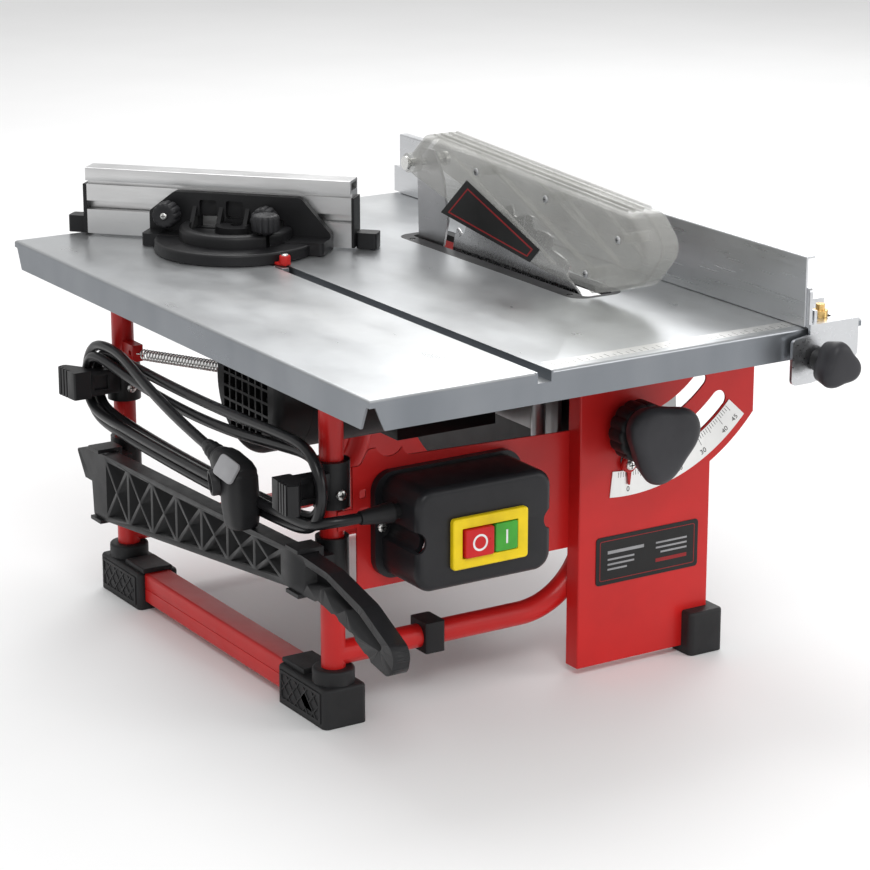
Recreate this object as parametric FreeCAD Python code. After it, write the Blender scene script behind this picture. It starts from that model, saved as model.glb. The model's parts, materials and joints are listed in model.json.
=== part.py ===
"""Benchtop table saw: a folded steel table on a tube frame, with a tilting and rising
direct-drive motor and blade, a rip fence, a mitre gauge, a push stick and a wound power cord.

Design axes: X to the right, Y from the operator to the rear, Z up from the floor.
The design origin is the table's front left corner, on the floor. The pieces are moved
at the end, so that the saw stands on z = 0 with its box centred on x = y = 0.
"""
import FreeCAD, Part
import math
import os

V = FreeCAD.Vector

# ---------------------------------------------------------------- driving dimensions, mm
TABLE_W = 373.0
TABLE_D = 505.0
TABLE_Z = 250.0
SHEET = 1.5
LIP = 20.0
UNDERSIDE = TABLE_Z - SHEET

SLOT_X = 124.0
SLOT_W = 10.0
SLOT_DEPTH = 7.0

BLADE_X = 258.0
BLADE_Y = 238.0
BLADE_Z = 195.0
BLADE_R = 100.0
BORE_R = 8.0

PIVOT_Z = 253.0
TILT_DEG = 45.0
CRANK_R = 83.0
POINTER_R = 106.0
SCALE_IN_R = 113.0
SCALE_OUT_R = 131.0
PANEL_EDGE_R = 137.0

PANEL_Y = 97.0
MIRROR_Y = 268.0
PANEL_LEFT = 219.0
PANEL_RIGHT = 327.0
PANEL_WIDE = 363.0
PANEL_FOOT_Z = 5.0

POST_X = 42.0
POST_Y = 119.0
TUBE_R = 8.0
TUBE_WALL = 1.2
CROSS_Z = 45.0
BEND_R = 54.0

INSERT_X0 = 243.0
INSERT_X1 = 285.0
INSERT_Y0 = 138.0
INSERT_Y1 = 372.0

MOTOR_R = 45.0
MOTOR_X0 = 45.0
MOTOR_X1 = 236.0
ROD_X = 228.0
ROD_Y = 160.0
ROD_R = 5.0
SCREW_Y = 116.5
SCREW_R = 4.0

GUARD_HALF = 15.0
GUARD_WALL = 2.2
GUARD_PIVOT_Y = 354.0
GUARD_PIVOT_Z = 307.0

FENCE_X = 324.6
FENCE_H = 46.5

MITRE_Y = 395.0
MITRE_DEG = -46.8
MITRE_LEFT = -120.0
MITRE_RIGHT = 81.5
MITRE_FACE = 15.5
MITRE_BACK = 31.5
MITRE_BASE_Z = TABLE_Z + 0.5

BOX_X0 = 70.0
BOX_X1 = 172.0
BOX_Y0 = 60.0
BOX_Y1 = 109.5
BOX_Z0 = 97.0
BOX_Z1 = 165.0

GLAND_Y = 84.0
GLAND_Z = 147.0
CORD_R = 3.6
HANK_X = 19.25
HANK_Y0 = 120.0
HANK_Y1 = 401.5
HANK_Z = 163.0
HANK_R = 24.0
HANK_SAG = 8.0

CORD_NODES = ("power_cord_lead", "power_cord_hank", "mains_plug")


# ---------------------------------------------------------------- shape helpers
def box(x0, x1, y0, y1, z0, z1):
    return Part.makeBox(x1 - x0, y1 - y0, z1 - z0, V(x0, y0, z0))


def rod(start, end, radius):
    direction = V(*end) - V(*start)
    return Part.makeCylinder(radius, direction.Length, V(*start), direction)


def ring(start, end, outer, inner):
    direction = V(*end) - V(*start)
    reach = V(direction).normalize()
    core = Part.makeCylinder(inner, direction.Length + 2, V(*start) - reach, direction)
    return rod(start, end, outer).cut(core)


def cone(start, end, r_start, r_end):
    direction = V(*end) - V(*start)
    return Part.makeCone(r_start, r_end, direction.Length, V(*start), direction)


def fuse(shapes):
    shapes = list(shapes)
    return shapes[0].fuse(shapes[1:]).removeSplitter() if len(shapes) > 1 else shapes[0]


def cut(shape, tools):
    return shape.cut(list(tools))


def group(shapes):
    return Part.makeCompound(list(shapes))


def place(axis, a, b, level):
    """A point of a plane square to the axis: (y, z), (x, z) or (x, y) at that level."""
    return {"x": V(level, a, b), "y": V(a, level, b), "z": V(a, b, level)}[axis]


def outline(points, axis, level):
    """A closed wire; a point's third value rounds its corner with a tangent arc."""
    count = len(points)
    corners = []
    for i, point in enumerate(points):
        here = V(point[0], point[1], 0)
        radius = point[2] if len(point) > 2 else 0
        if not radius:
            corners.append((here, None, here))
            continue
        back = V(*points[i - 1][:2], 0) - here
        ahead = V(*points[(i + 1) % count][:2], 0) - here
        back.normalize()
        ahead.normalize()
        half = back.getAngle(ahead) / 2
        reach = radius / math.tan(half)
        bisector = (back + ahead).normalize()
        middle = here + bisector * (radius / math.sin(half) - radius)
        corners.append((here + back * reach, middle, here + ahead * reach))
    edges = []
    for i, (start, middle, end) in enumerate(corners):
        if middle:
            arc = [place(axis, p.x, p.y, level) for p in (start, middle, end)]
            edges.append(Part.Arc(*arc).toShape())
        following = corners[(i + 1) % count][0]
        if (following - end).Length > 1e-6:
            a = place(axis, end.x, end.y, level)
            b = place(axis, following.x, following.y, level)
            edges.append(Part.LineSegment(a, b).toShape())
    return Part.Wire(edges)


def plate(points, axis, low, high):
    face = Part.Face(outline(points, axis, low))
    return face.extrude(place(axis, 0, 0, high - low))


def rounded_plate(a0, a1, b0, b1, radius, axis, low, high):
    return plate([(a0, b0, radius), (a1, b0, radius), (a1, b1, radius), (a0, b1, radius)],
                 axis, low, high)


def soften(shape, radius, chosen):
    """Fillet the edges whose centre passes the test, and leave the shape as it is if none do."""
    edges = [e for e in shape.Edges if chosen(e.CenterOfMass, e)]
    return shape.makeFillet(radius, edges) if edges else shape


def round_path(points, radii):
    """Straight runs joined by tangent arcs, as one wire."""
    edges = []
    start = V(*points[0])
    for i in range(1, len(points) - 1):
        here = V(*points[i])
        back = (V(*points[i - 1]) - here).normalize()
        ahead = (V(*points[i + 1]) - here).normalize()
        half = back.getAngle(ahead) / 2
        reach = radii[i - 1] / math.tan(half)
        middle = here + (back + ahead).normalize() * (radii[i - 1] / math.sin(half) - radii[i - 1])
        enter = here + back * reach
        leave = here + ahead * reach
        edges.append(Part.LineSegment(start, enter).toShape())
        edges.append(Part.Arc(enter, middle, leave).toShape())
        start = leave
    edges.append(Part.LineSegment(start, V(*points[-1])).toShape())
    return Part.Wire(edges)


def tube(points, radii, radius):
    wire = round_path(points, radii)
    heading = V(*points[1]) - V(*points[0])
    section = Part.Wire(Part.makeCircle(radius, V(*points[0]), heading))
    return wire.makePipeShell([section], True, False), wire.Length


def mirror_y(shape, level):
    return shape.mirror(V(0, level, 0), V(0, 1, 0))


def around_pivot(radius, degrees):
    """A point below the tilt axis, turned to the right by an angle, as (x, z)."""
    a = math.radians(degrees)
    return BLADE_X + radius * math.sin(a), PIVOT_Z - radius * math.cos(a)


def pivot_band(inner, outer, first, last, low, high, round_ends):
    """A band about the tilt axis, from one angle to another, square or round at its ends."""
    def at(radius, degrees, level):
        x, z = around_pivot(radius, degrees)
        return V(x, level, z)
    middle = (first + last) / 2
    edges = [Part.Arc(at(outer, first, low), at(outer, middle, low), at(outer, last, low)).toShape()]
    if round_ends:
        mean = (inner + outer) / 2
        swell = math.degrees((outer - inner) / 2 / mean)
        edges.append(Part.Arc(at(outer, last, low), at(mean, last + swell, low),
                              at(inner, last, low)).toShape())
    else:
        edges.append(Part.LineSegment(at(outer, last, low), at(inner, last, low)).toShape())
    edges.append(Part.Arc(at(inner, last, low), at(inner, middle, low),
                          at(inner, first, low)).toShape())
    if round_ends:
        edges.append(Part.Arc(at(inner, first, low), at(mean, first - swell, low),
                              at(outer, first, low)).toShape())
    else:
        edges.append(Part.LineSegment(at(inner, first, low), at(outer, first, low)).toShape())
    return Part.Face(Part.Wire(edges)).extrude(V(0, high - low, 0))


def lobed_knob(radius, lobes, low, high, bore):
    """A knob on the Y axis with rounded corners, softened on its front edge."""
    corner = radius * 0.55
    points = []
    for i in range(lobes):
        a = math.pi / 2 + 2 * math.pi * i / lobes
        points.append((radius * 1.25 * math.cos(a), radius * 1.25 * math.sin(a), corner))
    shape = plate(points, "y", low, high)
    shape = soften(shape, 3.0, lambda c, e: abs(c.y - low) < 0.01)
    return shape.cut(rod((0, low + 6, 0), (0, high + 1, 0), bore)) if bore else shape


# ---------------------------------------------------------------- table
def make_table():
    outer = box(0, TABLE_W, 0, TABLE_D, TABLE_Z - LIP, TABLE_Z)
    outer = soften(outer, 2.0, lambda c, e: abs(c.z - TABLE_Z) < 0.01)
    inner = box(SHEET, TABLE_W - SHEET, SHEET, TABLE_D - SHEET, TABLE_Z - LIP - 1, UNDERSIDE)
    shape = outer.cut(inner)
    wall = SLOT_W / 2 + SHEET
    floor_z = TABLE_Z - SLOT_DEPTH
    shape = shape.cut(box(SLOT_X - wall, SLOT_X + wall, -1, TABLE_D + 1, floor_z, TABLE_Z + 1))
    channel = box(SLOT_X - wall, SLOT_X + wall, 0, TABLE_D, floor_z - SHEET, TABLE_Z)
    groove = box(SLOT_X - SLOT_W / 2, SLOT_X + SLOT_W / 2, -1, TABLE_D + 1, floor_z, TABLE_Z + 1)
    shape = fuse([shape, channel.cut(groove)])
    wedge = [(-1, TABLE_Z - LIP - 1), (11, TABLE_Z - LIP - 1), (4, TABLE_Z - 5), (-1, TABLE_Z - 5)]
    mirrored = [(TABLE_W - a, b) for a, b in wedge]
    deep = [(TABLE_D - a, b) for a, b in wedge]
    reach = SHEET + 0.6
    for points, low, high, axis in (
            (wedge, -1, reach, "y"), (mirrored, -1, reach, "y"),
            (wedge, TABLE_D - reach, TABLE_D + 1, "y"), (mirrored, TABLE_D - reach, TABLE_D + 1, "y"),
            (wedge, -1, reach, "x"), (deep, -1, reach, "x"),
            (wedge, TABLE_W - reach, TABLE_W + 1, "x"), (deep, TABLE_W - reach, TABLE_W + 1, "x")):
        shape = shape.cut(plate(points, axis, low, high))
    opening = rounded_plate(INSERT_X0, INSERT_X1, INSERT_Y0, INSERT_Y1, 12, "z",
                            UNDERSIDE - 1, TABLE_Z + 1)
    return shape.cut(opening)


def make_insert():
    gap = 0.3
    step = 6.0
    plug = rounded_plate(INSERT_X0 + gap, INSERT_X1 - gap, INSERT_Y0 + gap, INSERT_Y1 - gap, 11.7,
                         "z", UNDERSIDE - 0.1, TABLE_Z)
    flange = rounded_plate(INSERT_X0 - step, INSERT_X1 + step, INSERT_Y0 - step, INSERT_Y1 + step,
                           16, "z", UNDERSIDE - 3.1, UNDERSIDE - 0.1)
    slot = rounded_plate(BLADE_X - 4, BLADE_X + 19, INSERT_Y0 + 5, INSERT_Y1 - 6, 4, "z",
                         UNDERSIDE - 4, TABLE_Z + 1)
    holes = [rod((BLADE_X - 9.5, y, UNDERSIDE - 4), (BLADE_X - 9.5, y, TABLE_Z + 1), 2.2)
             for y in (INSERT_Y0 + 16, INSERT_Y1 - 16)]
    return cut(fuse([plug, flange]), [slot] + holes)


def make_cross_rail():
    """Black angle under the table front, between the left post and the panel."""
    top = box(50, 214, 22, 60, UNDERSIDE - 2, UNDERSIDE)
    web = box(50, 214, 58, 60, TABLE_Z - 26, UNDERSIDE - 2)
    notch = box(SLOT_X - 8, SLOT_X + 8, 20, 62, TABLE_Z - 10, UNDERSIDE + 1)
    return fuse([top, web]).cut(notch)


# ---------------------------------------------------------------- frame
def tube_frame():
    """Front post with the lower cross tube, which turns up behind the front panel."""
    turn_x = 240.0
    path = [(POST_X, POST_Y, CROSS_Z), (turn_x, POST_Y, CROSS_Z), (turn_x, POST_Y, 130)]
    outer, _ = tube(path, [BEND_R], TUBE_R)
    inner, _ = tube(path, [BEND_R], TUBE_R - TUBE_WALL)
    post = rod((POST_X, POST_Y, 8), (POST_X, POST_Y, UNDERSIDE), TUBE_R)
    hollow = rod((POST_X, POST_Y, 7), (POST_X, POST_Y, UNDERSIDE + 1), TUBE_R - TUBE_WALL)
    bracket = box(turn_x - 6, turn_x + 6, PANEL_Y + SHEET, POST_Y - TUBE_R + 1.5, 100, 124)
    cap = rounded_plate(POST_X - 14, POST_X + 14, POST_Y - 12, POST_Y + 12, 4, "z",
                        UNDERSIDE - 2, UNDERSIDE)
    solid = fuse([outer, post, bracket, cap])
    return cut(solid, [inner, hollow])


def spring_boss():
    y = 2 * MIRROR_Y - POST_Y
    boss = box(POST_X - 4, POST_X + 4, y - 24, y - TUBE_R + 1, 178, 190)
    return boss.cut(rod((POST_X - 6, y - 19, 184), (POST_X + 6, y - 19, 184), 2))


def make_sill():
    """Rectangular steel tube between the left feet, with a crease along its outer face."""
    y0 = POST_Y + 26
    y1 = 2 * MIRROR_Y - y0
    body = rounded_plate(31, 52, 5, 27, 2.5, "y", y0, y1)
    core = rounded_plate(32.6, 50.4, 6.6, 25.4, 1.2, "y", y0 - 1, y1 + 1)
    crease = plate([(30, 15.2), (31.8, 16), (30, 16.8)], "y", y0 - 1, y1 + 1)
    return cut(body, [core, crease])


def left_foot():
    """Black moulded foot: a collar for the post, a socket for the sill, diamond ribs outside."""
    y0 = POST_Y - 16
    y1 = POST_Y + 47
    body = rounded_plate(26, 58, y0, y1, 4, "z", 0, 27)
    body = soften(body, 2.5, lambda c, e: abs(c.z - 27) < 0.01)
    collar = rod((POST_X, POST_Y, 0), (POST_X, POST_Y, 36.8), 14)
    collar = soften(collar, 2, lambda c, e: abs(c.z - 36.8) < 0.01)
    shape = fuse([body, collar])
    shape = shape.cut(rod((POST_X, POST_Y, 8), (POST_X, POST_Y, 41), TUBE_R + 0.1))
    shape = shape.cut(rounded_plate(30.9, 52.1, 4.9, 27.1, 2.5, "y", POST_Y + 25.9, y1 + 1))
    lid = soften(box(30, 53, POST_Y + 18, y1 - 0.2, 27.15, 30.5), 1.2, lambda c, e: c.z > 30.4)
    step = box(31, 52, POST_Y + 18, POST_Y + 25.5, 24, 28)
    shape = fuse([shape, lid, step])
    frame = box(25.2, 26.4, y0 + 5, y1 - 5, 3, 24)
    frame = frame.cut(box(25, 27, y0 + 7, y1 - 7, 5, 22))
    ribs = []
    pitch = 11.0
    for i in range(-1, 6):
        for lean in (-1, 1):
            middle = y0 + 8 + pitch * i
            points = [(middle - 9.5 * lean, 4), (middle - 9.5 * lean + 1.6, 4),
                      (middle + 9.5 * lean + 1.6, 23), (middle + 9.5 * lean, 23)]
            ribs.append(plate(points, "x", 25.4, 26.2))
    window = box(25, 27, y0 + 5, y1 - 5, 3, 24)
    return fuse([shape, frame] + [rib.common(window) for rib in ribs])


def side_panel():
    """Pressed steel end panel, flanged inward; its right edge follows the tilt scale."""
    low_z = PIVOT_Z - math.sqrt(PANEL_EDGE_R ** 2 - (PANEL_RIGHT - BLADE_X) ** 2)
    high_z = PIVOT_Z - math.sqrt(PANEL_EDGE_R ** 2 - (PANEL_WIDE - BLADE_X) ** 2)
    mean_a = (math.asin((PANEL_RIGHT - BLADE_X) / PANEL_EDGE_R)
              + math.asin((PANEL_WIDE - BLADE_X) / PANEL_EDGE_R)) / 2
    mid = around_pivot(PANEL_EDGE_R, math.degrees(mean_a))
    y = PANEL_Y
    corner = [V(PANEL_LEFT, y, PANEL_FOOT_Z), V(PANEL_RIGHT, y, PANEL_FOOT_Z),
              V(PANEL_RIGHT, y, low_z), V(PANEL_WIDE, y, high_z), V(PANEL_WIDE, y, UNDERSIDE),
              V(PANEL_LEFT, y, UNDERSIDE)]
    edges = [Part.LineSegment(corner[0], corner[1]).toShape(),
             Part.LineSegment(corner[1], corner[2]).toShape(),
             Part.Arc(corner[2], V(mid[0], y, mid[1]), corner[3]).toShape(),
             Part.LineSegment(corner[3], corner[4]).toShape(),
             Part.LineSegment(corner[4], corner[5]).toShape(),
             Part.LineSegment(corner[5], corner[0]).toShape()]
    face = Part.Face(Part.Wire(edges)).extrude(V(0, SHEET, 0))
    depth = 13.5
    side = box(PANEL_LEFT, PANEL_LEFT + SHEET, y, y + depth, PANEL_FOOT_Z, UNDERSIDE)
    top = box(PANEL_LEFT, PANEL_WIDE, y, y + depth, UNDERSIDE - SHEET, UNDERSIDE)
    base = box(PANEL_LEFT, PANEL_RIGHT, y, y + depth, PANEL_FOOT_Z, PANEL_FOOT_Z + SHEET)
    right = box(PANEL_RIGHT - SHEET, PANEL_RIGHT, y, y + depth, PANEL_FOOT_Z, low_z - 6)
    shape = fuse([face, side, top, base, right])
    shape = soften(shape, 1.2, lambda c, e: abs(c.y - y) < 0.01 and abs(c.x - PANEL_LEFT) < 0.01)
    slots = [pivot_band(CRANK_R - 5.2, CRANK_R + 5.2, 0, TILT_DEG, y - 1, y + 3, True),
             pivot_band(POINTER_R - 6, POINTER_R + 6, 0, TILT_DEG, y - 1, y + 3, True)]
    return cut(shape, slots)


def panel_foot():
    body = rounded_plate(306, 334, 86, 109, 4, "z", 0, 31)
    body = soften(body, 2, lambda c, e: abs(c.z - 31) < 0.01)
    return body.cut(box(300, PANEL_RIGHT, PANEL_Y, 114, PANEL_FOOT_Z, 32))


def make_tube_clip():
    shape = rounded_plate(106, 121, POST_Y - 11, POST_Y + 10, 2, "z", CROSS_Z - 10, CROSS_Z + 11)
    shape = shape.cut(rod((100, POST_Y, CROSS_Z), (140, POST_Y, CROSS_Z), TUBE_R + 0.1))
    return shape.cut(box(110, 117, POST_Y + 6, POST_Y + 13, CROSS_Z - 3, CROSS_Z + 3))


def cord_hook(post_y, arm_y, way):
    """Clamp round the post, an arm outward, and a ribbed finger turned along the saw."""
    clamp = ring((POST_X, post_y, 146), (POST_X, post_y, 177), 12, TUBE_R + 0.1)
    arm = box(2, POST_X - TUBE_R - 1, arm_y - 5, arm_y + 5, 154, 172)
    waist = box(13, 24, arm_y - 6, arm_y - 2.5, 158, 168)
    tip = arm_y + way * 21
    finger = plate([(10.5, arm_y - way * 6, 1.5), (10.5, arm_y + way * 8, 2), (2, tip, 3), (-5, tip - way * 3, 3),
                    (-3, arm_y - way * 6, 1.5)], "z", 153, 173)
    grooves = [box(-12, -2.8 + 0.5 * i, min(a, a + way * 1.5), max(a, a + way * 1.5), 150, 178)
               for i, a in enumerate(tip - way * (5 + 4 * k) for k in range(4))]
    hole = rod((POST_X, post_y - 13, 156), (POST_X, post_y - 7, 156), 1.7)
    return cut(fuse([clamp, arm, finger]), grooves + [waist, hole])


def stick_clip(post_y, y, low, high):
    """Two fingers on a saddle, open outward, which hold the push stick by its edges."""
    saddle = ring((POST_X, post_y, low - 2), (POST_X, post_y, high + 2), 11, TUBE_R + 0.1)
    near, far = min(y - 8, post_y - 6), max(y + 8, post_y + 6)
    back = box(21.6, POST_X - TUBE_R - 1, near, far, low + 4, high - 4)
    lower = box(6, 25, y - 8, y + 8, low - 3, low - 0.3)
    upper = box(6, 25, y - 8, y + 8, high + 0.3, high + 3)
    spine = box(21.6, 25, y - 8, y + 8, low - 3, high + 3)
    return fuse([saddle, back, lower, upper, spine])


# ---------------------------------------------------------------- switch group
def make_switch_panel():
    y = BOX_Y1
    shape = plate([(55, 90), (PANEL_LEFT, 90), (PANEL_LEFT, 170), (92, 174, 6), (88, 182, 4),
                   (64, 182, 4), (58, 172, 4), (52, 172), (52, 144), (41, 144), (41, 131), (55, 131)],
                  "y", y, y + SHEET)
    lower = box(55, PANEL_LEFT, y, y + 8, 88.5, 90)
    holes = [rounded_plate(57, 64, 136, 144, 1.5, "y", y - 1, y + 3),
             rounded_plate(57, 62, 150, 156, 1.5, "y", y - 1, y + 3),
             rod((BOX_X0, y - 1, (BOX_Z0 + BOX_Z1) / 2), (BOX_X0, y + 3, (BOX_Z0 + BOX_Z1) / 2), 1.9),
             rod((BOX_X1, y - 1, (BOX_Z0 + BOX_Z1) / 2), (BOX_X1, y + 3, (BOX_Z0 + BOX_Z1) / 2), 1.9),
             rounded_plate(84, 158, 108, 152, 6, "y", y - 1, y + 3)]
    scoop = rod((80, y - 1, 186), (80, y + 3, 186), 11)
    return cut(fuse([shape, lower]), holes + [scoop])


def make_switch_box():
    body = rounded_plate(BOX_X0, BOX_X1, BOX_Z0, BOX_Z1, 12, "y", BOX_Y0, BOX_Y1 - 0.2)
    body = soften(body, 5, lambda c, e: abs(c.y - BOX_Y0) < 0.01)
    core = rounded_plate(BOX_X0 + 2.5, BOX_X1 - 2.5, BOX_Z0 + 2.5, BOX_Z1 - 2.5, 9.5, "y",
                         BOX_Y0 + 2.5, BOX_Y1 + 1)
    flange = rounded_plate(BOX_X0 - 5, BOX_X1 + 5, BOX_Z0 - 2, BOX_Z1 + 2, 14, "y",
                           BOX_Y1 - 6, BOX_Y1 - 0.2)
    shape = fuse([body, flange]).cut(core)
    middle = (BOX_Z0 + BOX_Z1) / 2
    for x, way in ((BOX_X0, 1), (BOX_X1, -1)):
        shell = rod((x, BOX_Y0 + 8, middle), (x, BOX_Y1 - 4, middle), 10)
        keep = box(min(x, x + way * 12), max(x, x + way * 12), BOX_Y0, BOX_Y1, middle - 12, middle + 12)
        shape = fuse([shape, shell.common(keep)])
        shape = shape.cut(rod((x - way, BOX_Y0 - 1, middle), (x - way, BOX_Y1 - 6, middle), 7.5))
        shape = shape.cut(rod((x, BOX_Y1 - 7, middle), (x, BOX_Y1 + 1, middle), 2.2))
    mouth = box(99, 145, BOX_Y0 - 1, BOX_Y0 + 3, 115, 139)
    gland = rod((BOX_X0 - 6, GLAND_Y, GLAND_Z), (BOX_X0 + 6, GLAND_Y, GLAND_Z), 5.2)
    return cut(shape, [mouth, gland])


def make_bezel():
    """Frame of the switch, proud of the box, with a well behind each button."""
    shape = rounded_plate(94, 151, 110, 144, 2.5, "y", BOX_Y0 - 4, BOX_Y0 - 0.1)
    shape = soften(shape, 1.2, lambda c, e: abs(c.y - BOX_Y0 + 4) < 0.01)
    well = box(99.3, 144.7, BOX_Y0 - 0.1, BOX_Y0 + 22, 115.3, 138.7)
    core = box(101, 143, BOX_Y0 - 5, BOX_Y0 + 20, 117, 137)
    return fuse([shape, well]).cut(core)


def make_button(x0, x1, proud):
    body = rounded_plate(x0, x1, 117.5, 136.5, 1.5, "y", BOX_Y0 - 4 - proud, BOX_Y0 + 10)
    return soften(body, 0.9, lambda c, e: abs(c.y - BOX_Y0 + 4 + proud) < 0.01)


# ---------------------------------------------------------------- tilt cradle
def front_trunnion():
    """Sector plate behind the panel, with guide studs in its slots and ears for the lift."""
    y0 = PANEL_Y + 2.0
    shape = plate([(222, 239), (252, 239), (254, 237), (298, 195), (300, 140), (222, 140)],
                  "y", y0, y0 + 3)
    crank = around_pivot(CRANK_R, 0)
    stud = around_pivot(POINTER_R, 0)
    sleeve = rod((crank[0], 84, crank[1]), (crank[0], y0 + 3, crank[1]), 4.8)
    guide = rod((stud[0], PANEL_Y - 0.3, stud[1]), (stud[0], y0 + 1, stud[1]), 5.6)
    bolt = rod((stud[0], 94.4, stud[1]), (stud[0], PANEL_Y, stud[1]), 2)
    head = rod((stud[0], 91.8, stud[1]), (stud[0], 94.4, stud[1]), 3.6)
    upper = box(221.5, 236, y0, ROD_Y + 9, 232, 236)
    lower = box(221.5, 236, y0, ROD_Y + 9, 140, 144)
    top_ear = box(250, 266, y0, 122.5, 227, 230)
    foot_ear = box(250, 266, y0, 122.5, 146, 149)
    shape = fuse([shape, sleeve, guide, bolt, head, upper, lower, top_ear, foot_ear])
    bores = [rod((crank[0], 80, crank[1]), (crank[0], 110, crank[1]), 3.05),
             rod((ROD_X, ROD_Y, 131), (ROD_X, ROD_Y, 245), ROD_R),
             rod((BLADE_X, SCREW_Y, 140), (BLADE_X, SCREW_Y, 240), SCREW_R + 0.05)]
    return cut(shape, bores)


def rear_trunnion():
    y0 = PANEL_Y + 2.0
    shape = plate([(222, 239), (252, 239), (254, 237), (298, 195), (300, 140), (222, 140)],
                  "y", y0, y0 + 3)
    crank = around_pivot(CRANK_R, 0)
    stud = around_pivot(POINTER_R, 0)
    guides = [rod((crank[0], PANEL_Y - 2, crank[1]), (crank[0], y0 + 1, crank[1]), 4.6),
              rod((stud[0], PANEL_Y - 2, stud[1]), (stud[0], y0 + 1, stud[1]), 5.6)]
    upper = box(221.5, 236, y0, ROD_Y + 9, 232, 236)
    lower = box(221.5, 236, y0, ROD_Y + 9, 140, 144)
    shape = fuse([shape, upper, lower] + guides)
    shape = shape.cut(rod((ROD_X, ROD_Y, 131), (ROD_X, ROD_Y, 245), ROD_R))
    return mirror_y(shape, MIRROR_Y)


def cradle_rails():
    y0 = PANEL_Y + 5.0
    y1 = 2 * MIRROR_Y - y0
    return group(rod((292, y0, z), (292, y1, z), 5) for z in (152, 194))


def guide_rods():
    return group(rod((ROD_X, y, 140), (ROD_X, y, 236), ROD_R)
                 for y in (ROD_Y, 2 * MIRROR_Y - ROD_Y))


def tilt_pointer():
    x, z = around_pivot(POINTER_R, 0)
    shape = plate([(x - 5, z + 5, 2), (x - 5, z - 4, 2), (x - 1.6, z - 8), (x - 0.6, z - 17),
                   (x + 0.6, z - 17), (x + 1.6, z - 8), (x + 5, z - 4, 2), (x + 5, z + 5, 2)],
                  "y", 94.5, 95.8)
    return shape.cut(rod((x, 90, z), (x, 100, z), 2.0))


def lock_wheel():
    """Ribbed clamp wheel, threaded on the crank sleeve in front of the panel."""
    x, z = around_pivot(CRANK_R, 0)
    radius = 21.0
    body = rod((x, 76, z), (x, 91, z), radius)
    body = soften(body, 2, lambda c, e: abs(c.y - 76) < 0.01)
    hub = rod((x, 91, z), (x, 94, z), 12)
    scallops = []
    lobes = 14
    for i in range(lobes):
        a = 2 * math.pi * i / lobes
        sx = x + (radius + 1.6) * math.cos(a)
        sz = z + (radius + 1.6) * math.sin(a)
        scallops.append(rod((sx, 75, sz), (sx, 89, sz), 3.0))
    shape = cut(fuse([body, hub]), scallops)
    shape = shape.cut(rod((x, 70, z), (x, 96, z), 4.9))
    return shape.cut(rod((x, 76, z), (x, 83.5, z), 9))


def height_knob():
    x, z = around_pivot(CRANK_R, 0)
    knob = lobed_knob(31, 3, 50, 69, 0)
    knob.rotate(V(0, 0, 0), V(0, 1, 0), 50)
    knob.translate(V(x, 0, z))
    hub = rod((x, 68, z), (x, 75.5, z), 8.5)
    return fuse([knob, hub]).cut(rod((x, 58, z), (x, 80, z), 3.0))


def crank_shaft():
    x, z = around_pivot(CRANK_R, 0)
    shaft = rod((x, 58, z), (x, 107, z), 3.0)
    gear = cone((x, 107, z), (x, 110.3, z), 9, 5.7)
    back = rod((x, 103.5, z), (x, 107, z), 9)
    return fuse([shaft, gear_teeth(fuse([gear, back]), (x, 103, z), (x, 111, z), 9)])


def gear_teeth(blank, start, end, radius):
    """Cut shallow tooth spaces lengthwise round a gear blank."""
    direction = V(*end) - V(*start)
    along_y = abs(direction.y) > 0.1
    spaces = []
    for i in range(12):
        a = 2 * math.pi * i / 12
        ca = (radius + 0.4) * math.cos(a)
        sa = (radius + 0.4) * math.sin(a)
        offset = V(ca, 0, sa) if along_y else V(ca, sa, 0)
        spaces.append(Part.makeCylinder(1.3, direction.Length, V(*start) + offset, direction))
    return cut(blank, spaces)


def lift_screw():
    axis_z = PIVOT_Z - CRANK_R
    core = rod((BLADE_X, SCREW_Y, 144), (BLADE_X, SCREW_Y, 233), SCREW_R)
    gear = cone((BLADE_X, SCREW_Y, axis_z - 9), (BLADE_X, SCREW_Y, axis_z - 5.7), 9, 5.7)
    hub = rod((BLADE_X, SCREW_Y, 149.5), (BLADE_X, SCREW_Y, axis_z - 9), 9)
    toothed = gear_teeth(fuse([gear, hub]), (BLADE_X, SCREW_Y, 149), (BLADE_X, SCREW_Y, 166), 9)
    collar = rod((BLADE_X, SCREW_Y, 230.3), (BLADE_X, SCREW_Y, 233), 6)
    return fuse([core, toothed, collar])


# ---------------------------------------------------------------- rising carriage
def motor_bracket():
    rear = 2 * MIRROR_Y - ROD_Y
    web = plate([(112, 208), (151, 208, 6), (151, 150, 10), (rear + 9, 150, 10), (rear + 9, 230, 6),
                 (112, 230, 3)], "x", 238, 241)
    parts = [web]
    for y in (ROD_Y, rear):
        parts.append(rod((ROD_X, y, 192), (ROD_X, y, 228), 8.5))
        parts.append(box(ROD_X, 239, y - 8.5, y + 8.5, 192, 228))
    parts.append(box(240, 264, 110.8, 122, 212, 224))
    parts.append(box(240, 256.9, 346, 359, 168, 200))
    bores = [rod((ROD_X, y, 180), (ROD_X, y, 240), ROD_R + 0.05) for y in (ROD_Y, rear)]
    bores.append(rod((BLADE_X, SCREW_Y, 205), (BLADE_X, SCREW_Y, 230), SCREW_R + 0.05))
    bores.append(rod((230, BLADE_Y, BLADE_Z), (245, BLADE_Y, BLADE_Z), 16.05))
    return cut(fuse(parts), bores)


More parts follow.
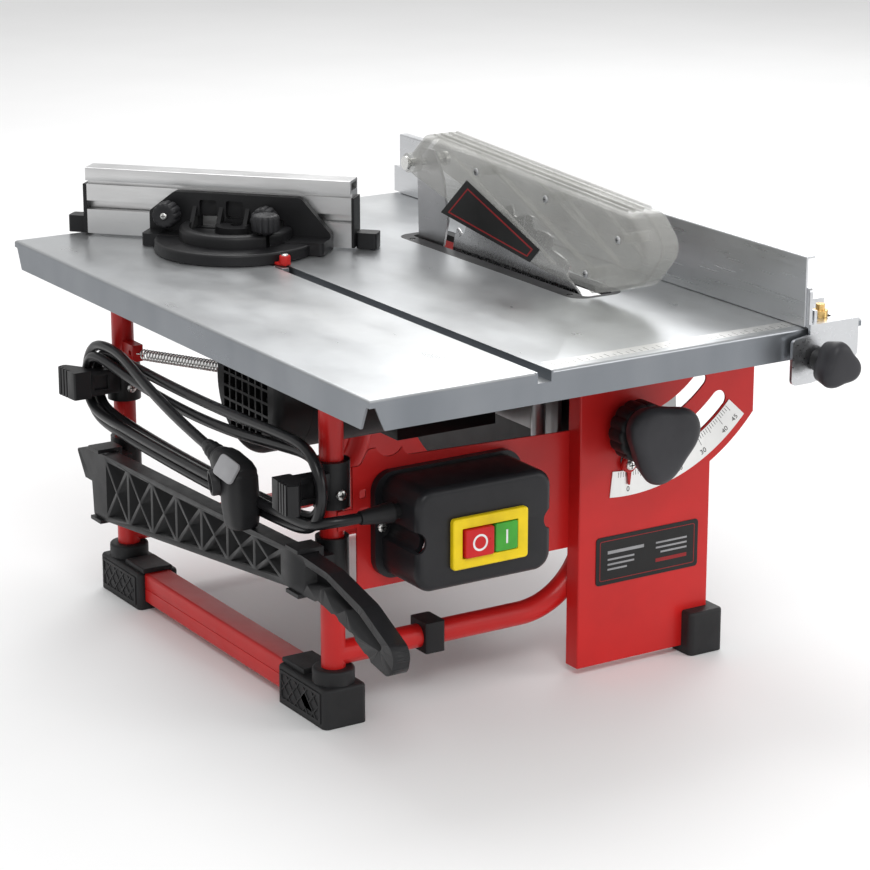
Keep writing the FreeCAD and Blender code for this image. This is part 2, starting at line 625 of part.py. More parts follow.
def motor_housing():
    y, z = BLADE_Y, BLADE_Z
    outer = rod((72, y, z), (MOTOR_X1, y, z), MOTOR_R)
    outer = soften(outer, 4, lambda c, e: abs(c.x - MOTOR_X1) < 0.01)
    core = rod((76, y, z), (MOTOR_X1 - 4, y, z), MOTOR_R - 3)
    shape = outer.cut(core)
    spigot = rod((MOTOR_X1 - 1, y, z), (241, y, z), 16)
    shape = fuse([shape, spigot])
    bores = [rod((222, y, z), (245, y, z), 11.0), rod((60, y, z), (80, y, z), 11.0)]
    for i in range(6):
        a = math.radians(60 * i + 30)
        bores.append(rod((60, y + 27 * math.cos(a), z + 27 * math.sin(a)),
                         (77, y + 27 * math.cos(a), z + 27 * math.sin(a)), 8))
    shape = cut(shape, bores)
    foot = box(150, MOTOR_X1 - 6, y - 22, y + 22, z - MOTOR_R - 3, z - MOTOR_R + 5)
    foot = foot.cut(core)
    lug = box(74, 84, y + 38, y + 48.8, z - 10, z).cut(core)
    return fuse([shape, foot, lug])


def fan_cover():
    """Cup over the fan, its end a grille of crossing bars."""
    y, z = BLADE_Y, BLADE_Z
    outer = rod((MOTOR_X0, y, z), (71.8, y, z), MOTOR_R)
    outer = soften(outer, 7, lambda c, e: abs(c.x - MOTOR_X0) < 0.01)
    shape = outer.cut(rod((MOTOR_X0 + 3, y, z), (80, y, z), MOTOR_R - 3))
    pitch = 9.0
    reach = 33.0
    windows = []
    for i in range(-4, 5):
        for k in range(-4, 5):
            cy, cz = pitch * i, pitch * k
            if math.hypot(cy, cz) < reach:
                windows.append(box(MOTOR_X0 - 1, MOTOR_X0 + 4, y + cy - 3.6, y + cy + 3.6,
                                   z + cz - 3.6, z + cz + 3.6))
    return cut(shape, windows)


def stator_core():
    return ring((112, BLADE_Y, BLADE_Z), (188, BLADE_Y, BLADE_Z), MOTOR_R - 3.2, 24)


def motor_bearings():
    return group(ring((x, BLADE_Y, BLADE_Z), (x + 9, BLADE_Y, BLADE_Z), 11, 6.05)
                 for x in (72, 226))


def blade_housing():
    """Open-topped dust box round the lower blade, with a hose port under it."""
    top = 222.0
    outer = plate([(128, top), (128, 92, 70), (366, 92, 50), (366, top)], "x", 246, 280)
    inner = plate([(129.8, top + 1), (129.8, 93.8, 68.2), (364.2, 93.8, 48.2), (364.2, top + 1)],
                  "x", 247.8, 278.2)
    port = rod((263, 262, 93), (263, 262, 56), 15.5)
    shape = fuse([outer, port]).cut(inner)
    holes = [rod((263, 262, 98), (263, 262, 50), 13.5),
             rod((240, BLADE_Y, BLADE_Z), (250, BLADE_Y, BLADE_Z), 24),
             box(240, 249, 343, 362, 165, 204)]
    return cut(shape, holes)


def riving_knife():
    """Steel splitter close behind the blade; its rear head carries the blade guard."""
    gap_r = BLADE_R + 5
    low = V(258, BLADE_Y + math.sqrt(gap_r ** 2 - 30 ** 2), BLADE_Z - 30)
    high = V(258, BLADE_Y + math.sqrt(gap_r ** 2 - 55 ** 2), BLADE_Z + 55)
    near = V(258, BLADE_Y + gap_r, BLADE_Z)
    corners = [high, V(258, 322, 268), V(258, 328, 298), V(258, 340, 317), V(258, 359, 317),
               V(258, 363.5, 306), V(258, 362, 266), V(258, 361, 240), V(258, 361, 165), low]
    edges = [Part.Arc(low, near, high).toShape()]
    for a, b in zip(corners, corners[1:]):
        edges.append(Part.LineSegment(a, b).toShape())
    wire = Part.Wire(Part.__sortEdges__(edges))
    shape = Part.Face(wire).extrude(V(2, 0, 0))
    shape.translate(V(-1, 0, 0))
    hole = rod((250, GUARD_PIVOT_Y, GUARD_PIVOT_Z), (265, GUARD_PIVOT_Y, GUARD_PIVOT_Z), 3.02)
    return shape.cut(hole)


# ---------------------------------------------------------------- rotating group
def rotor_shaft():
    y, z = BLADE_Y, BLADE_Z
    return fuse([rod((58, y, z), (248, y, z), 6), rod((112, y, z), (188, y, z), 23.4),
                 rod((247, y, z), (272, y, z), BORE_R)])


def saw_blade():
    """Disc with hooked teeth, carbide-wide at the tips, and four expansion slots."""
    teeth = 24
    root = BLADE_R - 7.5
    points = []
    for i in range(teeth):
        a = 2 * math.pi * i / teeth
        step = 2 * math.pi / teeth
        for radius, share in ((BLADE_R, 0.0), (BLADE_R - 1.6, 0.28), (root + 2, 0.62),
                              (root, 0.78), (root + 0.8, 0.93)):
            angle = -(a + share * step)
            points.append((BLADE_Y + radius * math.cos(angle), BLADE_Z + radius * math.sin(angle)))
    disc = plate(points, "x", BLADE_X - 0.8, BLADE_X + 0.8)
    disc = disc.cut(rod((250, BLADE_Y, BLADE_Z), (265, BLADE_Y, BLADE_Z), BORE_R))
    slots = []
    for i in range(4):
        slot = box(BLADE_X - 2, BLADE_X + 2, BLADE_Y + BLADE_R - 24, BLADE_Y + BLADE_R + 1,
                   BLADE_Z - 0.9, BLADE_Z + 0.9)
        slot.rotate(V(BLADE_X, BLADE_Y, BLADE_Z), V(1, 0, 0), 90 * i + 9.5)
        slots.append(slot)
    tips = []
    for i in range(teeth):
        tip = box(BLADE_X - 1.2, BLADE_X + 1.2, BLADE_Y + BLADE_R - 6, BLADE_Y + BLADE_R - 0.3,
                  BLADE_Z - 2.2, BLADE_Z - 0.3)
        tip.rotate(V(BLADE_X, BLADE_Y, BLADE_Z), V(1, 0, 0), -360.0 * i / teeth)
        tips.append(tip)
    return fuse([cut(disc, slots)] + tips)


def cooling_fan():
    y, z = BLADE_Y, BLADE_Z
    hub = ring((52, y, z), (68, y, z), 12, 6)
    back = ring((66, y, z), (68, y, z), 37, 6)
    vanes = []
    for i in range(9):
        vane = box(53, 67, y + 10, y + 37, z - 0.8, z + 0.8)
        vane.rotate(V(60, y, z), V(1, 0, 0), 40 * i)
        vanes.append(vane)
    return fuse([hub, back] + vanes)


def blade_clamp():
    """Inner and outer flanges and the arbor nut."""
    y, z = BLADE_Y, BLADE_Z
    inner = ring((249, y, z), (BLADE_X - 0.8, y, z), 20, BORE_R)
    outer = ring((BLADE_X + 0.8, y, z), (BLADE_X + 4, y, z), 20, BORE_R)
    points = [(y + 12.7 * math.cos(math.radians(60 * i)), z + 12.7 * math.sin(math.radians(60 * i)))
              for i in range(6)]
    nut = plate(points, "x", BLADE_X + 4, BLADE_X + 11)
    nut = nut.cut(rod((250, y, z), (280, y, z), BORE_R))
    return group([inner, outer, nut])


# ---------------------------------------------------------------- blade guard
GUARD_OUTLINE = [(366, 303, 9), (333, 331, 8), (80, 318, 14), (57, 297, 14), (84, 268, 22),
                 (142, 252, 8), (196, 263, 60), (346, 297, 8)]


def guard_body():
    x0 = BLADE_X - GUARD_HALF
    x1 = BLADE_X + GUARD_HALF
    outer = plate(GUARD_OUTLINE, "x", x0, x1)
    outer = soften(outer, 5, lambda c, e: c.z > 316 and c.y < 345 and abs(abs(c.x - BLADE_X) - GUARD_HALF) < 0.01
                   and e.Length > 60)
    keel = [(BLADE_X, 250.6), (BLADE_X - 30, 280.6), (BLADE_X - 30, 230), (BLADE_X + 30, 230),
            (BLADE_X + 30, 280.6)]
    outer = outer.cut(plate(keel, "y", 40, 220))
    wall = GUARD_WALL
    inner = plate([(362.5, 303, 7), (332, 328.6, 6), (81, 315.7, 12), (59.6, 297, 12),
                   (85, 270.6, 20), (146, 254.6, 6), (200, 256), (210, 240), (400, 280)],
                  "x", x0 + wall, x1 - wall)
    raised = [(a, b + 3.2) for a, b in keel]
    inner = inner.cut(plate(raised, "y", 40, 196))
    mouth = box(BLADE_X - 7, BLADE_X + 8, 138, 400, 240, 290)
    shape = cut(outer, [inner, mouth])
    ribs = []
    for x in (-9.5, -3.5, 3.5, 9.5):
        ribs.append(plate([(326, 330.2), (326, 332.2), (90, 320.2), (90, 318.2)], "x",
                          BLADE_X + x - 0.7, BLADE_X + x + 0.7))
    for x, way in ((x0, 1), (x1, -1)):
        ribs.append(rod((x, GUARD_PIVOT_Y, GUARD_PIVOT_Z), (x + way * 9, GUARD_PIVOT_Y, GUARD_PIVOT_Z), 7))
        inside = sorted((x + way * wall, x + way * (wall + 3.4)))
        for a, b in (((300, 322), (170, 268)), ((236, 320), (120, 272)), ((160, 318), (96, 284))):
            ribs.append(plate([a, (a[0] + 3, a[1]), (b[0] + 3, b[1]), b], "x", *inside))
        for by, bz in ((262, 316), (92, 300), (128, 270), (176, 312)):
            ribs.append(rod((x + way * 1, by, bz), (BLADE_X - way * 0, by, bz), 3.6))
    body = fuse([shape] + ribs)
    knife_way = box(BLADE_X - 4, BLADE_X + 4, 318, 380, 268, 326)
    blade_way = rod((BLADE_X - 5, BLADE_Y, BLADE_Z), (BLADE_X + 5, BLADE_Y, BLADE_Z), BLADE_R + 6)
    hole = rod((x0 - 1, GUARD_PIVOT_Y, GUARD_PIVOT_Z), (x1 + 1, GUARD_PIVOT_Y, GUARD_PIVOT_Z), 3.0)
    return cut(body, [knife_way, blade_way, hole])


def guard_halves():
    body = guard_body()
    left = body.common(box(200, BLADE_X, 0, 420, 200, 400))
    right = body.common(box(BLADE_X, 320, 0, 420, 200, 400))
    return left, right


def guard_pivot_bolt():
    x0 = BLADE_X - GUARD_HALF
    x1 = BLADE_X + GUARD_HALF
    y, z = GUARD_PIVOT_Y, GUARD_PIVOT_Z
    return fuse([rod((x0 - 2.6, y, z), (x1 + 4, y, z), 2.95), rod((x0 - 2.6, y, z), (x0 - 0.3, y, z), 5.2),
                 rod((x1 + 0.3, y, z), (x1 + 4, y, z), 5.2)])


# ---------------------------------------------------------------- rip fence
def fence_plate():
    z0 = TABLE_Z + 0.4
    z1 = z0 + FENCE_H
    x = FENCE_X
    wall = box(x, x + SHEET, -1, 499, z0, z1)
    top = box(x, x + 7, -1, 499, z1 - SHEET, z1)
    base = box(x, x + 12, 44, 499, z0, z0 + SHEET)
    shape = fuse([wall, top, base])
    return soften(shape, 1.1, lambda c, e: abs(c.x - x) < 0.01 and abs(c.z - z1) < 0.01)


def fence_carrier():
    """Front bracket over the lip with the clamp plate, and the rear hook."""
    z0 = TABLE_Z + 0.4
    x = FENCE_X + SHEET
    base = plate([(x, -4, 1), (366, -4, 2), (366, 30, 8), (350, 43, 3), (x, 43)], "z", z0, z0 + 2.4)
    slot = rounded_plate(336, 354, 6, 13, 3.4, "z", z0 - 1, z0 + 4)
    wall = plate([(-4, z0), (43, z0), (43, z0 + 9, 3), (20, z0 + 26, 6), (-4, z0 + 26, 3)], "x", x, x + 2.4)
    rib = box(x + 9, x + 11.4, 2, 43, z0, z0 + 9)
    lip = box(x, 366, 30, 32.4, z0, z0 + 8)
    apron = plate([(312, 214, 4), (328, 214, 4), (340, 216, 4), (366, 228, 4), (366, z0 + 2.4), (x, z0 + 2.4),
                   (x - 0.01, 246), (312, 244, 3)], "y", -5.5, -3.2)
    boss = rod((332, -3.2, 230), (332, -1.6, 230), 6)
    front = cut(fuse([base, wall, rib, lip, apron, boss]), [slot, rod((332, -10, 230), (332, 5, 230), 3.05)])
    bolt = fuse([rod((346, 9.5, z0 + 2.4), (346, 9.5, z0 + 7), 5), rod((346, 9.5, z0 + 6), (346, 9.5, z0 + 11), 3)])
    hook = fuse([box(x + 12.2, 356, 470, 509.5, z0, z0 + 2.4), box(x + 12.2, 356, 507, 509.5, 234, z0 + 2.4),
                 box(x, x + 12.4, 499.2, 509.5, z0, z0 + 2.4), box(x, x + 2.4, 499.2, 509.5, z0, z0 + 20)])
    return group([front, hook, bolt])


def fence_knob():
    knob = lobed_knob(16, 3, -35, -17, 0)
    knob.rotate(V(0, 0, 0), V(0, 1, 0), 25)
    knob.translate(V(332, 0, 230))
    hub = rod((332, -18, 230), (332, -8, 230), 8)
    screw = rod((332, -9, 230), (332, -0.6, 230), 3)
    return fuse([knob, hub, screw])


# ---------------------------------------------------------------- mitre gauge
def turned(shape):
    """Place a shape built about the gauge's pivot, with the fence along its own X."""
    shape.rotate(V(0, 0, 0), V(0, 0, 1), MITRE_DEG)
    shape.translate(V(SLOT_X, MITRE_Y, 0))
    return shape


def mitre_bar():
    bar = box(SLOT_X - 4.7, SLOT_X + 4.7, MITRE_Y - 62, MITRE_Y + 96, TABLE_Z - 6.7, TABLE_Z - 0.2)
    pin = rod((SLOT_X, MITRE_Y, TABLE_Z - 1), (SLOT_X, MITRE_Y, MITRE_BASE_Z + 13), 4)
    tongue = box(SLOT_X - 3, SLOT_X + 3, MITRE_Y - 72, MITRE_Y - 60, TABLE_Z - 6.7, TABLE_Z - 0.2)
    return fuse([bar, pin, tongue])


def mitre_head():
    """Moulded half-round protractor with an upright plate for the fence."""
    z = MITRE_BASE_Z
    disc = rod((0, 0, z), (0, 0, z + 8), 59)
    disc = soften(disc, 2, lambda c, e: abs(c.z - z - 8) < 0.01)
    disc = disc.cut(box(-70, 70, MITRE_FACE - 0.3, 80, z - 1, z + 12))
    base = rounded_plate(-69, 68, -10, MITRE_FACE - 0.3, 3, "z", z, z + 9)
    dome = rod((0, 0, z + 7), (0, 0, z + 17), 41)
    dome = soften(dome, 3, lambda c, e: abs(c.z - z - 17) < 0.01)
    dome = dome.cut(box(-70, 70, 4, 80, z, z + 40))
    hollow = ring((0, 0, z + 12), (0, 0, z + 20), 34, 15)
    wall = plate([(-69, z), (68, z), (68, z + 12, 4), (46, z + 37, 6), (-50, z + 37, 6), (-69, z + 22, 4)],
                 "y", MITRE_FACE - 7, MITRE_FACE - 0.3)
    webs = [plate([(-6, z + 8), (MITRE_FACE - 2, z + 8), (MITRE_FACE - 2, z + 34)], "x", u - 1.5, u + 1.5)
            for u in (-34, -14, 6)]
    windows = [rounded_plate(u - 6.5, u + 6.5, z + 19, z + 32, 2, "y", 0, MITRE_FACE - 3) for u in (-24, -4)]
    shape = fuse([disc, base, dome, wall]).cut(hollow)
    shape = cut(fuse([shape] + webs), windows)
    bores = [rod((0, 0, z - 1), (0, 0, z + 30), 4.05), rod((30, -24, z + 4), (30, -24, z + 30), 3.0)]
    for u in (-52, 22):
        bores.append(rod((u, 0, z + 22), (u, 30, z + 22), 2.6))
        bores.append(rod((u, -9, z + 22), (u, MITRE_FACE - 7.2, z + 22), 13.8))
    return turned(cut(shape, bores))


def mitre_extrusion():
    z0 = TABLE_Z + 1.5
    z1 = TABLE_Z + 50.5
    f, b = MITRE_FACE, MITRE_BACK
    profile = [(f, z0), (f, 269.3), (f + 5, 269.3), (f + 5, 266.5), (f + 7.5, 266.5), (f + 7.5, 279),
               (f + 5, 279), (f + 5, 275.7), (f, 275.7), (f, 288), (f + 3, 288), (f + 3, 291),
               (f - 2, 291), (f - 2, z1, 1), (b, z1, 1), (b, z0)]
    shape = plate(profile, "x", MITRE_LEFT, MITRE_RIGHT)
    core = [rounded_plate(f + 9.5, b - 2, z0 + 2, 287, 1, "x", MITRE_LEFT - 1, MITRE_RIGHT + 1),
            rounded_plate(f + 1, b - 2, 293, z1 - 2, 1, "x", MITRE_LEFT - 1, MITRE_RIGHT + 1)]
    return turned(cut(shape, core))


def mitre_end_caps():
    z0 = TABLE_Z + 1.5
    parts = []
    for u0, u1 in ((MITRE_LEFT - 3, MITRE_LEFT), (MITRE_RIGHT, MITRE_RIGHT + 2)):
        parts.append(box(u0, u1, MITRE_FACE, MITRE_BACK, z0, 288))
    left_stop = rounded_plate(MITRE_LEFT - 17, MITRE_LEFT - 3, 20, 33, 2, "z", TABLE_Z + 0.5, TABLE_Z + 13)
    right_stop = rounded_plate(MITRE_RIGHT + 2, MITRE_RIGHT + 17, 20, 33, 2, "z", TABLE_Z + 0.5, TABLE_Z + 12)
    return turned(group([fuse([parts[0], left_stop]), fuse([parts[1], right_stop])]))


def mitre_fence_knob(u):
    z = MITRE_BASE_Z + 22
    grip = rounded_plate(u - 9.5, u + 9.5, z - 9.5, z + 9.5, 4, "y", MITRE_FACE - 23, MITRE_FACE - 12)
    grip = soften(grip, 1.5, lambda c, e: abs(c.y - MITRE_FACE + 23) < 0.01)
    neck = rod((u, MITRE_FACE - 12.5, z), (u, MITRE_FACE - 7.3, z), 5.5)
    stud = rod((u, MITRE_FACE - 8, z), (u, MITRE_FACE + 4.5, z), 2.5)
    return turned(fuse([grip, neck, stud]))


def mitre_lock_knob():
    z = MITRE_BASE_Z + 17.3
    hub = rod((30, -24, z - 9), (30, -24, z), 2.95)
    grip = rounded_plate(20.5, 39.5, -33.5, -14.5, 4.5, "z", z, z + 13)
    grip = soften(grip, 1.5, lambda c, e: abs(c.z - z - 13) < 0.01)
    return turned(fuse([hub, grip]))


# ---------------------------------------------------------------- push stick
def push_stick():
    """Ribbed moulding: a long lattice blade, notched at its tip, and a curved handle."""
    x0, x1 = 8.0, 20.0
    shape = plate([(428, 111, 2), (384, 116.5, 6), (118, 124.1), (98, 124.1, 10), (66, 122, 20), (24, 112, 30),
                   (-14, 94, 9), (-9, 76, 8), (14, 80, 8), (40, 92, 12), (72, 99, 8), (98, 98), (118, 98),
                   (386, 67, 3), (402, 67, 3), (404, 92), (415, 92)], "x", x0, x1)
    pockets = []
    first, last, bays = 124.0, 382.0, 7
    pitch = (last - first) / bays

    def low(y):
        return 98 - (y - 118) * 31 / 268 + 4.0

    def high(y):
        return 124.1 - (y - 118) * 7.6 / 266 - 4.0
    rib = 1.6
    for i in range(bays):
        a, b = first + pitch * i + rib, first + pitch * (i + 1) - rib
        m = (a + b) / 2
        centre = (low(m) + high(m)) / 2
        pockets.append([(a + 2, low(a)), (b - 2, low(b)), (m, centre - rib)])
        pockets.append([(a + 2, high(a)), (b - 2, high(b)), (m, centre + rib)])
        pockets.append([(a, low(a) + 2), (m - rib, centre), (a, high(a) - 2)])
        pockets.append([(b, low(b) + 2), (m + rib, centre), (b, high(b) - 2)])
    shape = cut(shape, [plate(p, "x", x0 - 1, x1 - 3) for p in pockets])
    grip = plate([(94, 119, 2), (68, 117.5, 10), (28, 107, 14), (0, 94, 2), (4, 90, 2), (44, 104, 10), (72, 110, 10),
                  (94, 106, 2)], "x", x0 - 1, x1 - 4)
    bites = [rod((x0 - 1, y, z), (x1 + 1, y, z), 6.5) for y, z in ((78, 93.5), (58, 91), (38, 85.5), (20, 77))]
    return cut(shape, [grip] + bites)


# ---------------------------------------------------------------- spring, cord, screws
def counter_spring():
    """Coil from the rear left post's boss to the motor, as a plain tube of its outer size."""
    rear_y = 2 * MIRROR_Y - POST_Y
    start = V(POST_X + 1, rear_y - 26, 184)
    end = V(79, BLADE_Y + 50.5, BLADE_Z - 5)
    direction = end - start
    return Part.makeCylinder(4.5, direction.Length, start, direction)


def strain_relief():
    """Tapered boot where the cord leaves the left side of the switch box."""
    nut = rod((BOX_X0 - 5, GLAND_Y, GLAND_Z), (BOX_X0 + 5.5, GLAND_Y, GLAND_Z), 5.1)
    boot = cone((BOX_X0 - 5, GLAND_Y, GLAND_Z), (BOX_X0 - 28, GLAND_Y, GLAND_Z), 7, CORD_R + 0.8)
    bore = rod((BOX_X0 - 40, GLAND_Y, GLAND_Z), (BOX_X0 - 10, GLAND_Y, GLAND_Z), CORD_R)
    return fuse([nut, boot]).cut(bore)


LEAD_POINTS = [(51.8, GLAND_Y, GLAND_Z), (33.8, GLAND_Y, GLAND_Z), (18.2, 92.8, 144.5)]


def cord_lead():
    points = LEAD_POINTS
    radii = []
    for i in range(1, len(points) - 1):
        back = V(*points[i - 1]) - V(*points[i])
        ahead = V(*points[i + 1]) - V(*points[i])
        half_turn = (math.pi - back.getAngle(ahead)) / 2
        radii.append(0.45 * min(back.Length, ahead.Length) / math.tan(half_turn))
    shape, length = tube(points, radii, CORD_R)
    print("cord lead radii", [round(r, 1) for r in radii], "length", round(length, 1),
          "volume ratio", round(shape.Volume / (math.pi * CORD_R ** 2 * length), 4))
    return shape


def cord_hank():
    """Outer shape of the wound cord: a sagging oval ring round both hooks."""
    def loop(grow):
        top = HANK_Z + HANK_R + grow
        low = HANK_Z - HANK_R - grow
        mid = (HANK_Y0 + HANK_Y1) / 2
        a = [(HANK_Y0, top), (mid, top - HANK_SAG), (HANK_Y1, top)]
        b = [(HANK_Y1, low), (mid, low - HANK_SAG * 0.4), (HANK_Y0, low)]
        ends = [(HANK_Y1 + HANK_R + grow, HANK_Z), (HANK_Y0 - HANK_R - grow, HANK_Z)]

        def at(p):
            return V(HANK_X - 8.25, p[0], p[1])
        edges = [Part.Arc(at(a[0]), at(a[1]), at(a[2])).toShape(),
                 Part.Arc(at(a[2]), at(ends[0]), at(b[0])).toShape(),
                 Part.Arc(at(b[0]), at(b[1]), at(b[2])).toShape(),
                 Part.Arc(at(b[2]), at(ends[1]), at(a[0])).toShape()]
        return Part.Face(Part.Wire(edges))
    outer = loop(9.0).extrude(V(16.5, 0, 0))
    return outer.cut(loop(-6.0).extrude(V(16.5, 0, 0)))


def mains_plug():
    """Angled plug held between the runs of the wound cord, its boot toward the rear."""
    body = rounded_plate(164, 197, 146, 171.5, 6, "x", -8, 18)
    body = soften(body, 3, lambda c, e: abs(c.x + 8) < 0.01)
    neck = cone((7, 222, 165.5), (7, 196, 160), CORD_R + 0.9, 9)
    return fuse([body, neck])


def frame_screws():
    """Pan-head screws of one pattern: hooks, switch box, panel and table brackets."""
    screws = []
    rear_y = 2 * MIRROR_Y - POST_Y
    for y in (POST_Y, rear_y):
        screws.append(fuse([rod((POST_X, y - 14.6, 156), (POST_X, y - 12, 156), 3.4),
                            rod((POST_X, y - 12.6, 156), (POST_X, y - 9, 156), 1.6)]))
    middle = (BOX_Z0 + BOX_Z1) / 2
    for x in (BOX_X0, BOX_X1):
        screws.append(fuse([rod((x, BOX_Y1 - 8.6, middle), (x, BOX_Y1 - 6, middle), 3.4),
                            rod((x, BOX_Y1 - 7, middle), (x, BOX_Y1 + 1.4, middle), 1.8)]))
    for y in (INSERT_Y0 + 16, INSERT_Y1 - 16):
        screws.append(rod((BLADE_X - 9.5, y, UNDERSIDE - 3), (BLADE_X - 9.5, y, TABLE_Z - 0.3), 2.0))
    return group(screws)


# ---------------------------------------------------------------- the whole saw
def build():
    rear_post = 2 * MIRROR_Y - POST_Y
    foot = left_foot()
    pad = panel_foot()
    panel = side_panel()
    frame = tube_frame()
    guard_left, guard_right = guard_halves()
    front_hook = cord_hook(POST_Y, POST_Y - 8.5, -1)
    rear_hook = cord_hook(rear_post, rear_post - 7, 1)
    return {
        "table_top": make_table(),
        "table_insert": make_insert(),
        "front_cross_rail": make_cross_rail(),
        "front_tube_frame": frame,
        "rear_tube_frame": fuse([mirror_y(frame, MIRROR_Y), spring_boss()]),
        "left_sill": make_sill(),
        "left_feet": group([foot, mirror_y(foot, MIRROR_Y)]),
        "front_panel": panel,
        "rear_panel": mirror_y(panel, MIRROR_Y),
        "right_feet": group([pad, mirror_y(pad, MIRROR_Y)]),
        "angle_scale": pivot_band(SCALE_IN_R, SCALE_OUT_R, -6.5, 47.5, PANEL_Y - 0.8, PANEL_Y, False),
        "tube_clip": make_tube_clip(),
        "front_cord_hook": front_hook,
        "rear_cord_hook": rear_hook,
        "push_stick_clips": group([stick_clip(POST_Y, 108, 98.0, 124.1),
                                   stick_clip(rear_post, 396, 67.0, 116.0)]),
        "switch_panel": make_switch_panel(),
        "switch_box": make_switch_box(),
        "switch_bezel": make_bezel(),
        "cord_strain_relief": strain_relief(),
        "frame_screws": frame_screws(),
        "counter_spring": counter_spring(),
        "power_cord_lead": cord_lead(),
        "power_cord_hank": cord_hank(),
        "mains_plug": mains_plug(),
        "front_trunnion": front_trunnion(),
        "rear_trunnion": rear_trunnion(),
        "cradle_rails": cradle_rails(),
        "guide_rods": guide_rods(),
        "tilt_pointer": tilt_pointer(),
        "tilt_lock_wheel": lock_wheel(),
        "height_knob": height_knob(),
        "crank_shaft": crank_shaft(),
        "lift_screw": lift_screw(),
        "motor_bracket": motor_bracket(),
        "motor_housing": motor_housing(),
        "fan_cover": fan_cover(),
        "stator_core": stator_core(),
        "motor_bearings": motor_bearings(),
        "blade_housing": blade_housing(),
        "riving_knife": riving_knife(),
        "guard_pivot_bolt": guard_pivot_bolt(),
        "rotor_shaft": rotor_shaft(),
        "cooling_fan": cooling_fan(),
        "saw_blade": saw_blade(),
        "blade_clamp": blade_clamp(),
        "guard_left": guard_left,
        "guard_right": guard_right,
        "fence_plate": fence_plate(),
        "fence_carrier": fence_carrier(),
        "fence_knob": fence_knob(),
        "mitre_bar": mitre_bar(),
        "mitre_head": mitre_head(),
        "mitre_extrusion": mitre_extrusion(),
        "mitre_end_caps": mitre_end_caps(),
        "mitre_knob_left": mitre_fence_knob(-52),
        "mitre_knob_right": mitre_fence_knob(22),
        "mitre_lock_knob": mitre_lock_knob(),
        "stop_button": make_button(102, 123.5, 2.5),
        "start_button": make_button(125.5, 142.5, 0.8),
        "push_stick": push_stick(),
    }


def origin_shift(nodes):
    """From the design origin to the floor point under the centre of the saw's own box."""
    own = group(shape for name, shape in nodes.items() if name not in CORD_NODES)
    limits = own.optimalBoundingBox(True, False)
    return V(-(limits.XMin + limits.XMax) / 2, -(limits.YMin + limits.YMax) / 2, -limits.ZMin)


NODES = build()
SHIFT = origin_shift(NODES)
os.makedirs("parts", exist_ok=True)
for node, solid in NODES.items():
    solid.translate(SHIFT)
    solid.exportStep("parts/%s.step" % node)
print("nodes", len(NODES), "shift", [round(v, 4) for v in SHIFT])
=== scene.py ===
import json
import math

import bmesh
import bpy
from mathutils import Matrix, Vector


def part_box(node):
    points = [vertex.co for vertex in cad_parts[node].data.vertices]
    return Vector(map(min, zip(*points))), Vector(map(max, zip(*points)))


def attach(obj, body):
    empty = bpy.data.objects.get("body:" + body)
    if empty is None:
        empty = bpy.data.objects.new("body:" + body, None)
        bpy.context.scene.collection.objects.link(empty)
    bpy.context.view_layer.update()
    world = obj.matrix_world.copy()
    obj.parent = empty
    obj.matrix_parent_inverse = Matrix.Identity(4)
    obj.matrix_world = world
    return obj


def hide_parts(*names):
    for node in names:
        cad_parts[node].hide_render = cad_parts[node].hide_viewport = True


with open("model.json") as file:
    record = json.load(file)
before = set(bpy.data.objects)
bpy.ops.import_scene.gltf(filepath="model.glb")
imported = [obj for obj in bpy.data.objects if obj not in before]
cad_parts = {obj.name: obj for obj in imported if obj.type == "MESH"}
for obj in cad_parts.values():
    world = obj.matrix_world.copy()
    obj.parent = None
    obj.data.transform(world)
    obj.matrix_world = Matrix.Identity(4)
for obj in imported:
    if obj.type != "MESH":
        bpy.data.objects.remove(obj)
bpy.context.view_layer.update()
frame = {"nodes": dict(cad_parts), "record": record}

# The design frame of the CAD, in millimetres: origin at the table's front left corner, on the floor.
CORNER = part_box("table_top")[0]
NODES = frame["nodes"]
BODY_OF = {node: body for body, nodes in frame["record"]["behaviour"]["bodies"].items() for node in nodes}


def at(x, y, z):
    """A point of the design frame as a row-frame vector in metres."""
    return Vector((CORNER.x + x / 1000, CORNER.y + y / 1000, z / 1000))


X, Y, Z = Vector((1, 0, 0)), Vector((0, 1, 0)), Vector((0, 0, 1))
FRONT = -Y


# ---------------------------------------------------------------- camera
SENSOR_WIDTH = 36
FOCAL_LENGTH = 119.86
CAMERA_PLACE = (-833.1, -1405.6, 714.7)
CAMERA_PITCH = 73.449
CAMERA_YAW = -32.002


def make_camera():
    """A long lens from the front left, a little above the table."""
    data = bpy.data.cameras.new("camera")
    data.sensor_width = SENSOR_WIDTH
    data.lens = FOCAL_LENGTH
    camera = bpy.data.objects.new("camera", data)
    camera.location = at(*CAMERA_PLACE)
    camera.rotation_euler = (math.radians(CAMERA_PITCH), 0, math.radians(CAMERA_YAW))
    bpy.context.scene.collection.objects.link(camera)
    bpy.context.scene.camera = camera


make_camera()


# ---------------------------------------------------------------- materials
# The Mix node's sockets when it mixes colours.
MIX_FACTOR, MIX_A, MIX_B, MIX_RESULT = 0, 6, 7, 2


